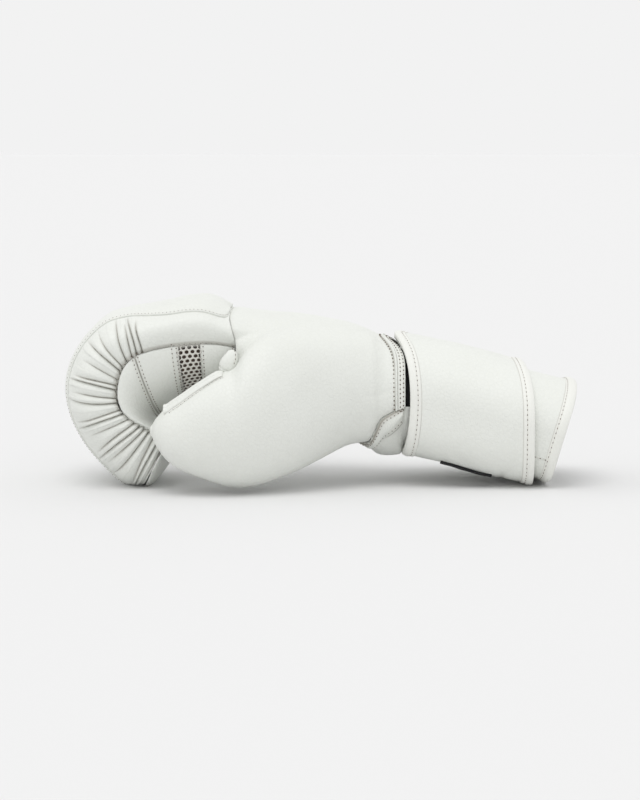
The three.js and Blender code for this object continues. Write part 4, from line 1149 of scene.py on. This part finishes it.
ROLL_LENGTHWAYS = np.linspace(0, 1, 40)
roll_stops = MM * np.array([
    (-55.3, -57.2, 69.6),
    (-53.4, -58.4, 73.6),
    (-51.4, -58.6, 78.0),
    (-50.2, -57.6, 83.0),
])
roll_route = in_frame(*between(roll_stops, ROLL_LENGTHWAYS * (len(roll_stops) - 1)).T)
ROLL_HALF_WIDTH = 5.0 * MM
roll_half = ROLL_HALF_WIDTH * np.sin(math.pi * mix(0.13, 0.995, ROLL_LENGTHWAYS)) ** 0.5
for crease_at in (0.1, 0.22):
    roll_half = roll_half - 0.7 * MM * np.exp(-(((ROLL_LENGTHWAYS - crease_at) / 0.03) ** 2))
roll_profile = roll_half[:, None, None] * round_profile(1.0, 26, 0.62)[None]
roll_rings = sweep(roll_route, roll_profile, np.array([0.0, -1.0, 0.0]))
web_roll = rod("thumb_web_roll", roll_rings, white_leather)
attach(web_roll, "root")
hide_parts("thumb_web")
roll_edge = roll_route + np.stack([0.62 * roll_half, -0.48 * roll_half, 0 * roll_half], axis=-1)
sew("thumb_web_seam", [roll_edge[10:]], pitch=2.4 * MM, width=0.2 * MM, hole=0.3 * MM)


# Palm panel: soft leather without foam under the hand and the wrist. It is sewn to the shell
# on both sides and goes on under the strap.
PALM_END = 0.054
PALM_SEAM_GAP = 0.012  # in radians
palm_from = lower[:, None] + PALM_SEAM_GAP
palm_to = outer[:, None] + 2 * math.pi - PALM_SEAM_GAP
palm_skin = skin(mix(palm_from, palm_to, np.linspace(0, 1, PALM_COLUMNS)))
palm_tail = palm_skin[-1:] + [PALM_END - WEB_X - HAND_LENGTH, 0, 0]
palm_skin = np.concatenate([palm_skin, palm_tail])


def palm_shape(points):
    to_sides = line_distance(points, np.concatenate([palm_skin[::2, 0], palm_skin[::2, -1]]))
    to_web = line_distance(points, palm_skin[0])
    x = points[:, 0] - ORIGIN[0]
    broad = unevenness(points, 0.05, 31)
    lift = -0.9 * MM * np.exp(-((to_sides / 0.003) ** 1.3)) - 0.9 * MM * np.exp(-((to_web / 0.003) ** 1.3))
    folds = np.maximum(np.sin(x / 0.0032 + 3.0 * broad), 0) ** 4
    near_web = 1 - smoothstep(x, -0.046, -0.012)
    slack = smoothstep(x, 0.020, 0.038) * (1 - smoothstep(x, 0.0465, 0.0520))
    lift += 5.5 * MM * slack * (1 - smoothstep(points[:, 2], 0.020, 0.034))
    lift += 0.4 * MM * broad - 0.8 * MM * folds * near_web
    # The second result is painted shade in the valleys of the folds near the web.
    return lift, 0.5 * folds * near_web


palm = skin_piece("palm_panel_leather", [(palm_skin, False)], 1.6 * MM, white_leather, palm_shape)
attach(palm, "root")
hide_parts("palm_panel")


# Wrist edge: a leather tape is folded over the shell's edge and sewn down twice, with a bead
# beside it and one more row of stitches on the shell.
TAPE_WIDTH = 6.6 * MM
TAPE_ROWS = 36
axis_y, axis_z = np.interp(shell_x, AXIS_X, AXIS_Y), np.interp(shell_x, AXIS_X, AXIS_Z)
axis_places = in_frame(shell_x, axis_y, axis_z)[:, None]
edge_places = hand_skin[::-1]
edge_normals = outward(hand_skin, axis_places)[::-1]
edge_run = arc_lengths(edge_places, 0)
EDGE_STEP = 0.2 * MM
EDGE_DEPTH = 0.034
edge_steps = np.arange(0, EDGE_DEPTH, EDGE_STEP)
edge_table = np.empty((len(edge_steps), edge_places.shape[1], 6))
for j in range(edge_places.shape[1]):
    for k in range(3):
        edge_table[:, j, k] = np.interp(edge_steps, edge_run[:, j], edge_places[:, j, k])
        edge_table[:, j, 3 + k] = np.interp(edge_steps, edge_run[:, j], edge_normals[:, j, k])
edge_around = np.concatenate([[0], np.cumsum(np.hypot(*np.diff(edge_places[0, :, 1:], axis=0).T))])
edge_slope = np.gradient(edge_places[0, :, 0]) / np.gradient(edge_around)
edge_slope = np.convolve(np.pad(edge_slope, 4, mode="edge"), np.ones(9) / 9, mode="valid")


def from_wrist_edge(distance, height):
    """Places at distances in from the shell's wrist edge, square to it, lifted off the leather."""
    distance, height = np.asarray(distance)[:, None], np.asarray(height)[:, None]
    longer = np.sqrt(1 + edge_slope**2)
    beside = edge_around + distance * edge_slope / longer
    column = np.interp(beside, edge_around, np.arange(len(edge_around)))
    edge_x = edge_places[0, :, 0]
    run = np.interp(column, np.arange(len(edge_x)), edge_x) - edge_x + distance / longer
    row = np.clip(run / EDGE_STEP, 0, len(edge_steps) - 1.001)
    column = np.minimum(column, len(edge_x) - 1.001)
    i, j = np.floor(row).astype(int), np.floor(column).astype(int)
    down, over = (row - i)[..., None], (column - j)[..., None]
    near = mix(edge_table[i, j], edge_table[i + 1, j], down)
    far = mix(edge_table[i, j + 1], edge_table[i + 1, j + 1], down)
    found = mix(near, far, over)
    return found[..., :3] + found[..., 3:] * height[..., None]


def tape_height(distance):
    """The tape is flat with a pressed groove at its inner side, and then a round bead."""
    d = distance / MM
    height = 0.35 + 0.75 * np.clip(d / 0.6, 0, 1) ** 0.5
    for at, lift, reach in ((4.9, -0.55, 0.28), (5.75, 0.45, 0.5), (1.4, -0.12, 0.35), (3.4, -0.12, 0.35)):
        height = height + lift * np.exp(-(((d - at) / reach) ** 2))
    return height * (1 - 0.85 * smoothstep(d, 6.0, 6.6)) * MM


tape_distance = np.linspace(0, TAPE_WIDTH, TAPE_ROWS)
wrist_tape_out = from_wrist_edge(tape_distance, tape_height(tape_distance))
wrist_tape_in = from_wrist_edge(tape_distance, np.full(TAPE_ROWS, -1.2 * MM))
# Painted shade in the pressed groove and where the tape ends on the shell.
groove = 0.55 * np.exp(-(((tape_distance / MM - 4.9) / 0.2) ** 2))
groove = np.maximum(groove, 0.5 * smoothstep(tape_distance / MM, 6.3, 6.6))[:, None]
wrist_tape_shade = groove * np.ones((1, wrist_tape_out.shape[1]))
wrist_tape = panel("wrist_edge_tape", wrist_tape_out, wrist_tape_in, white_leather, folds=wrist_tape_shade)
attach(wrist_tape, "root")
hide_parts("wrist_binding")
WRIST_SEAMS = np.array([1.4, 3.4, 7.2]) * MM
seam_heights = np.array([tape_height(WRIST_SEAMS[0]), tape_height(WRIST_SEAMS[1]), 0.05 * MM])
wrist_rows = from_wrist_edge(WRIST_SEAMS, seam_heights)
sew("wrist_edge_seams", list(wrist_rows), pitch=2.6 * MM, hole=0.42 * MM)


# Thumb fold: spare leather of the thumb's underside, tucked and sewn into a soft leaf-shaped
# pleat where the shell, the palm panel and the wrist edge meet.
FOLD_FROM = 0.66
FOLD_TO = 0.985
FOLD_WIDTH = 16.5 * MM
FOLD_LIFT = 3.0 * MM
fold_along = np.linspace(0, 1, 70)
fold_cross = np.linspace(0, 1, 30)
fold_rows = mix(FOLD_FROM, FOLD_TO, fold_along) * (SHELL_ROWS - 1)
row_before = np.floor(fold_rows).astype(int)
palm_rows = mix(palm_skin[row_before], palm_skin[row_before + 1], (fold_rows - row_before)[:, None, None])
palm_inward = outward(palm_skin[:SHELL_ROWS], axis_places)
fold_normals = palm_inward[row_before]
palm_run = arc_lengths(palm_rows, 1)
fold_reach = FOLD_WIDTH * np.sin(math.pi * mix(0.03, 0.86, fold_along)) ** 0.7
fold_base = np.empty((len(fold_along), len(fold_cross), 3))
fold_up = np.empty_like(fold_base)
for i, reach in enumerate(fold_reach):
    for k in range(3):
        fold_base[i, :, k] = np.interp(reach * fold_cross, palm_run[i], palm_rows[i, :, k])
        fold_up[i, :, k] = np.interp(reach * fold_cross, palm_run[i], fold_normals[i, :, k])
crown = np.sin(math.pi * mix(0.06, 0.96, fold_cross))[None] ** 0.55
fold_lift = FOLD_LIFT * crown * np.sin(math.pi * mix(0.03, 0.93, fold_along))[:, None] ** 0.6
fold_lift = fold_lift + 0.3 * MM * np.sin(9 * fold_cross[None] + 5 * fold_along[:, None]) * crown
fold_high = fold_base + fold_up * fold_lift[..., None]
fold_low = fold_base - fold_up * 0.6 * MM
to_side = np.minimum(fold_cross[None] * fold_reach[:, None], (1 - fold_cross[None]) * fold_reach[:, None])
# Painted shade along the tucked sides of the fold.
fold_edge_shade = 0.95 * np.exp(-((to_side / (1.0 * MM)) ** 1.2))
thumb_fold = panel("thumb_fold_leather", fold_high, fold_low, white_leather, folds=fold_edge_shade)
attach(thumb_fold, "root")
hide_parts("thumb_fold")
fold_seams = []
for inset in (0.12, 0.74):
    spots = [[np.interp(inset, fold_cross, line[:, k]) for k in range(3)] for line in fold_high[6:-4]]
    fold_seams.append(np.array(spots))
sew("thumb_fold_seams", fold_seams, pitch=2.5 * MM, width=0.24 * MM, hole=0.34 * MM)


# Cuff: a short padded tube of leather that widens to a slanting opening. A tape of thin leather
# is folded over its edge and sewn down.
CUFF_START = 0.058
CUFF_END = 0.144
CUFF_SLANT = 0.009
CUFF_WIDTH = 0.090
CUFF_WALL = 0.004
OPENING_BOW = -0.0015
BINDING_WIDTH = 0.0068
BINDING_THICKNESS = 0.005
CUFF_SHAPE = 2.2
CUFF_LOW_SHAPE = 3.8  # squarer below, where its weight rests
CUFF_SECTIONS = np.array([
    # at, top, bottom, width
    (-0.13, 0.759, 0.2, 0.85),
    (0.12, 0.721, 0.157, 0.88),
    (0.38, 0.673, 0.094, 0.93),
    (0.64, 0.608, 0.05, 0.97),
    (1.0, 0.542, -0.035, 1.0),
])


def cuff_section(x, height=0.0):
    at = (np.asarray(x, float) - CUFF_START) / (CUFF_END + CUFF_SLANT - CUFF_START)
    places = CUFF_SECTIONS[:, 0]
    i = np.clip(np.searchsorted(places, at) - 1, 0, len(places) - 2)
    position = i + (at - places[i]) / (places[i + 1] - places[i])
    rows = between(CUFF_SECTIONS, position)
    top, bottom = rows[..., 1] * GLOVE_HEIGHT, rows[..., 2] * GLOVE_HEIGHT
    half_width = rows[..., 3] * CUFF_WIDTH / 2 + height
    half_height = (top - bottom) / 2 + height
    return 0 * top, (top + bottom) / 2, half_width, half_height, CUFF_SHAPE, CUFF_LOW_SHAPE


def over_cuff(x, turn, height):
    """Places on a layer that lies so high over the cuff's leather."""
    x, turn, height = np.broadcast_arrays(x, turn, height)
    y, z = superellipse(cuff_section(x, height), turn)
    return in_frame(x, y, z)


def leaning(middle, lean, bow, turn):
    """A line round the cuff that leans back towards the top and bows out at the sides."""
    sine = np.sin(turn)
    rise = np.sign(sine) * np.abs(sine) ** (2 / np.where(sine < 0, CUFF_LOW_SHAPE, CUFF_SHAPE))
    return middle + lean * rise + bow * (1 - rise**2)


def cuff_edge(turn):
    return leaning(CUFF_END, CUFF_SLANT, OPENING_BOW, turn)


CUFF_COLUMNS = 260
around = np.linspace(0, 2 * math.pi, CUFF_COLUMNS, endpoint=False)[None, :]
lengthways = np.linspace(0, 1, 64)[:, None]
cuff_rows = mix(CUFF_START, cuff_edge(around) - BINDING_WIDTH * 0.5, lengthways)
cuff_outside = over_cuff(cuff_rows, around, 0.0)
cuff_inside = over_cuff(cuff_rows, around, -CUFF_WALL)
dents = 0.45 * MM * unevenness(cuff_outside, 0.05, 41)
below = np.maximum(-np.sin(around), 0)
slack_creases = np.sin(cuff_rows / 0.0031 + 2.2 * unevenness(cuff_outside, 0.04, 42))
dents = dents - 1.0 * MM * below**2 * np.maximum(slack_creases, 0) ** 3
cuff_outside = cuff_outside + outward(cuff_outside, cuff_inside) * dents[..., None]
cuff_outside[..., 2] = np.maximum(cuff_outside[..., 2], 0)
cuff = panel("cuff_leather", cuff_outside, cuff_inside, white_leather, closed=True)
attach(cuff, "root")
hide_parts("cuff")

tape_leather = leather("tape_leather", (0.82, 0.825, 0.785, 1), (0.77, 0.775, 0.73, 1), 0.7 * MM, 0.08 * MM)


def folded_tape(name, node, place, low, high, sewn_at, closed=False):
    """A tape folded over an edge and sewn down: round at its fold and pressed in at its seam.

    place gives a grid for a share of the tape's width, 1 at the fold, and a height."""
    run = np.linspace(0, 1, 20)[:, None]
    half = (high - low) / 2

    def swell(at):
        rounded = 0.62 + 0.38 * np.sin(math.pi * np.clip(at * 1.04, 0, 1)) ** 0.6
        pressed = 0.16 * np.exp(-(((at - sewn_at) * BINDING_WIDTH / (0.9 * MM)) ** 2))
        return half * (rounded - pressed)

    outside = place(run, (high + low) / 2 + swell(run))
    inside = place(run, (high + low) / 2 - swell(run))
    # Painted shade along the tape's inner edge, where it meets the leather under it.
    inner_edge_shade = 0.45 * np.exp(-((run * BINDING_WIDTH / (0.35 * MM)) ** 2))
    inner_edge_shade = inner_edge_shade * np.ones((1, outside.shape[1]))
    piece = panel(name, outside, inside, tape_leather, closed=closed, folds=inner_edge_shade)
    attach(piece, "root")
    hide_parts(node)
    seam = place(np.array([[sewn_at]]), (high + low) / 2 + swell(sewn_at))[0]
    sew(name + "_seam", [seam[2:-2]], pitch=2.9 * MM, width=0.2 * MM, hole=0.22 * MM, slit=2.6)


def cuff_tape_place(run, height):
    return over_cuff(cuff_edge(around) - BINDING_WIDTH * (1 - run), around, height)


folded_tape(
    "cuff_edge_tape", "cuff_binding", cuff_tape_place, -CUFF_WALL - 0.8 * MM, 0.9 * MM, 0.2, closed=True
)

# A short row of stitches closes the cuff's own seam on the thumb side.
SEAM_TURN = math.radians(196)
short_seam_x = np.linspace(0.1245, 0.1335, 12)
short_seam = over_cuff(short_seam_x, SEAM_TURN, 0.1 * MM)
sew("cuff_side_seam", [short_seam], pitch=2.4 * MM, hole=0.26 * MM, slit=2.0)


# Wrist strap: a wide band of leather over webbing. It is sewn on at the outer side, goes under
# the wrist, up the thumb side and over the back, and closes on its own sewn end.
STRAP_FRONT = 0.0487
STRAP_REAR = 0.1250
STRAP_THICKNESS = 0.003
FRONT_BOW = 0.004
REAR_DIP = 0.0030
FRONT_DIP = 0.0042
STRAP_START = math.radians(40)
STRAP_SWEEP = math.radians(430)
OVERLAP_RAMP = math.radians(45)
LAYER_LIFT = BINDING_THICKNESS + GAP
STRAP_BASE = (BINDING_THICKNESS - STRAP_THICKNESS) / 2 + GAP
END_TAPE_SHARE = BINDING_WIDTH / (CUFF_WIDTH / 2) / STRAP_SWEEP


def strap_turn(share):
    return STRAP_START - STRAP_SWEEP * np.asarray(share)


def strap_lift(share):
    return LAYER_LIFT * smoothstep(STRAP_SWEEP * np.asarray(share), 2 * math.pi - OVERLAP_RAMP, 2 * math.pi)


def strap_front(turn):
    return leaning(STRAP_FRONT, 0, FRONT_BOW, turn) - FRONT_DIP * np.maximum(np.sin(turn), 0) ** 6


def strap_rear(turn):
    return STRAP_REAR - REAR_DIP * np.maximum(np.sin(turn), 0) ** 4


STRAP_COLUMNS = 330
STRAP_ROWS = 60
strap_share = np.linspace(0, 1 - END_TAPE_SHARE * 0.6, STRAP_COLUMNS)[None, :]
turn = strap_turn(strap_share)
strap_cross = np.linspace(0, 1, STRAP_ROWS)[:, None]
strap_x = mix(strap_front(turn) + BINDING_WIDTH * 0.5, strap_rear(turn) - BINDING_WIDTH * 0.5, strap_cross)
strap_outside = over_cuff(strap_x, turn, STRAP_BASE + STRAP_THICKNESS + strap_lift(strap_share))
strap_inside = over_cuff(strap_x, turn, STRAP_BASE + strap_lift(strap_share))
wobble = unevenness(strap_outside, 0.045, 51)
underneath = smoothstep(-np.sin(turn), 0.1, 0.9)
soft_creases = np.maximum(np.sin(strap_x / 0.0042 + 2.4 * wobble), 0) ** 3
strap_dents = 0.4 * MM * wobble - 0.75 * MM * underneath * soft_creases * smoothstep(wobble, -0.6, 0.6)
to_tape = np.minimum(strap_cross, 1 - strap_cross) * (STRAP_REAR - STRAP_FRONT)
strap_dents = strap_dents * smoothstep(to_tape, 0.002, 0.010)
strap_outside = strap_outside + outward(strap_outside, strap_inside) * strap_dents[..., None]
strap_outside[..., 2] = np.maximum(strap_outside[..., 2], 0)
strap = panel("wrist_strap_leather", strap_outside, strap_inside, white_leather)
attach(strap, "root")
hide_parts("wrist_strap")


tape_share = np.linspace(0, 1 - END_TAPE_SHARE * 0.5, STRAP_COLUMNS)[None, :]
tape_turn = strap_turn(tape_share)
tape_lift = strap_lift(tape_share)
end_cross = np.linspace(0, 1, 90)[None, :]


def front_tape_place(run, height):
    return over_cuff(strap_front(tape_turn) + BINDING_WIDTH * (1 - run), tape_turn, height + tape_lift)


def rear_tape_place(run, height):
    return over_cuff(strap_rear(tape_turn) - BINDING_WIDTH * (1 - run), tape_turn, height + tape_lift)


def end_tape_place(run, height):
    share = 1 - END_TAPE_SHARE * (1 - run)
    angle = strap_turn(share)
    x = mix(strap_front(angle), strap_rear(angle), end_cross)
    return over_cuff(x, angle, height + strap_lift(share))


folded_tape("strap_front_tape", "strap_front_binding", front_tape_place, GAP, GAP + BINDING_THICKNESS, 0.34)
folded_tape("strap_rear_tape", "strap_rear_binding", rear_tape_place, GAP, GAP + BINDING_THICKNESS, 0.36)
folded_tape("strap_end_tape", "strap_end_binding", end_tape_place, GAP, GAP + BINDING_THICKNESS, 0.4)


# Woven tab: a narrow black woven label without any mark, sewn flat on the strap under the thumb
# side of the wrist.
LABEL_LENGTH = 0.030
LABEL_WIDTH = 0.012
LABEL_TURN = math.radians(246)
LABEL_SHIFT = 0.0008
label_middle = (STRAP_FRONT + STRAP_REAR) / 2 - LABEL_SHIFT
label_half = LABEL_WIDTH / CUFF_WIDTH


def woven(name, dark, light, thread_size):
    """Plain cloth of crossed threads."""
    finish = Finish(name)
    place = finish.place()
    warp = finish.node("ShaderNodeTexWave", {"bands_direction": "X"}, Vector=place, Scale=0.32 / thread_size)
    weft = finish.node("ShaderNodeTexWave", {"bands_direction": "Z"}, Vector=place, Scale=0.32 / thread_size)
    fuzz = finish.node("ShaderNodeTexNoise", None, Vector=place, Scale=600.0, Detail=3.0)
    weave = warp * weft
    tone = finish.blend(weave * 0.6 + fuzz * 0.4, dark, light)
    bump = finish.node("ShaderNodeBump", None, Strength=0.7, Distance=0.12 * MM, Height=weave)
    return finish.surface(Base_Color=tone, Roughness=0.85, Normal=bump)


black_weave = woven("black_weave", (0.006, 0.006, 0.007, 1), (0.03, 0.03, 0.032, 1), 0.5 * MM)
strap_top = STRAP_BASE + STRAP_THICKNESS


def label_grid(height, edge):
    """The tab's face or back, with its long edges pressed down."""
    x = label_middle + LABEL_LENGTH * np.linspace(-0.5, 0.5, 40)[:, None]
    cross = np.linspace(-1, 1, 16)[None, :]
    turns = LABEL_TURN + label_half * cross
    ripple = 0.08 * MM * np.sin(x / 0.0016)
    rim = edge * np.exp(-((1 - np.abs(cross)) / 0.1))
    return over_cuff(x, turns, strap_top + height + ripple - rim)


label_top = label_grid(0.9 * MM, 0.25 * MM)
label_back = label_grid(0.05 * MM, 0)
label = panel("woven_tab", label_top, label_back, black_weave)
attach(label, "root")
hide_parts("size_label")


# Inner sleeve: the black woven lining, a tube that reaches from inside the hand far into the
# cuff. It shows in the slit between the wrist edge and the strap.
SLEEVE_FROM = 0.0385
SLEEVE_TO = 0.0980
SLEEVE_DEPTH = CUFF_WALL + 0.6 * MM
SLEEVE_WALL = 1.5 * MM
sleeve_x = np.linspace(SLEEVE_FROM, SLEEVE_TO, 60)[:, None]
ruffle = 0.35 * MM * np.sin(sleeve_x / 0.0016 + 2 * np.sin(3 * around)) - 0.35 * MM
sleeve_outside = over_cuff(sleeve_x, around, ruffle - SLEEVE_DEPTH)
sleeve_inside = over_cuff(sleeve_x, around, ruffle - SLEEVE_DEPTH - SLEEVE_WALL)
sleeve = panel("inner_sleeve_cloth", sleeve_outside, sleeve_inside, black_weave, closed=True)
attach(sleeve, "root")
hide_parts("inner_sleeve")


# Studio: a plain pale floor under even daylight, with one broad soft light from the upper left.
PHOTO_GREY = 0.888
world = bpy.data.worlds.new("studio")
world.use_nodes = True
world.node_tree.nodes["Background"].inputs["Color"].default_value = (PHOTO_GREY,) * 3 + (1,)
bpy.context.scene.world = world
bpy.context.scene.view_settings.view_transform = "Standard"

floor_finish = Finish("studio_floor")
floor_material = floor_finish.surface(Base_Color=(0.78, 0.78, 0.78, 1), Roughness=0.9)
FLOOR_REACH = 30.0
FLOOR_DROP = 0.0002
corners = FLOOR_REACH * np.array([(-1, -1, 0), (1, -1, 0), (1, 1, 0), (-1, 1, 0)])
floor = new_piece("studio_floor", corners - (0, 0, FLOOR_DROP), [(0, 1, 2, 3)], floor_material)

key = bpy.data.lights.new("soft_key", "SUN")
key.energy = 0.85
key.angle = math.radians(40)
key_lamp = bpy.data.objects.new("soft_key", key)
key_lamp.rotation_euler = (math.radians(20), math.radians(-8), 0)
bpy.context.collection.objects.link(key_lamp)


# Camera: low on the thumb side, a little above the floor, with a long lens.
CAMERA_DISTANCE = 1.5
CAMERA_ELEVATION = math.radians(6)
AIM_HEIGHT = 0.048
SENSOR = 36.0
VIEW_HEIGHT = 0.48  # what the picture's height shows at that distance
camera = bpy.data.cameras.new("camera")
camera.sensor_width = SENSOR
camera.lens = SENSOR * CAMERA_DISTANCE / VIEW_HEIGHT
camera.clip_end = 100
lens = bpy.data.objects.new("camera", camera)
aim = Vector(ORIGIN) + Vector((0, 0, AIM_HEIGHT))
backwards = Vector((0, -math.cos(CAMERA_ELEVATION), math.sin(CAMERA_ELEVATION)))
lens.location = aim + CAMERA_DISTANCE * backwards
lens.rotation_euler = (math.pi / 2 - CAMERA_ELEVATION, 0, 0)
bpy.context.collection.objects.link(lens)
bpy.context.scene.camera = lens

bpy.context.view_layer.update()
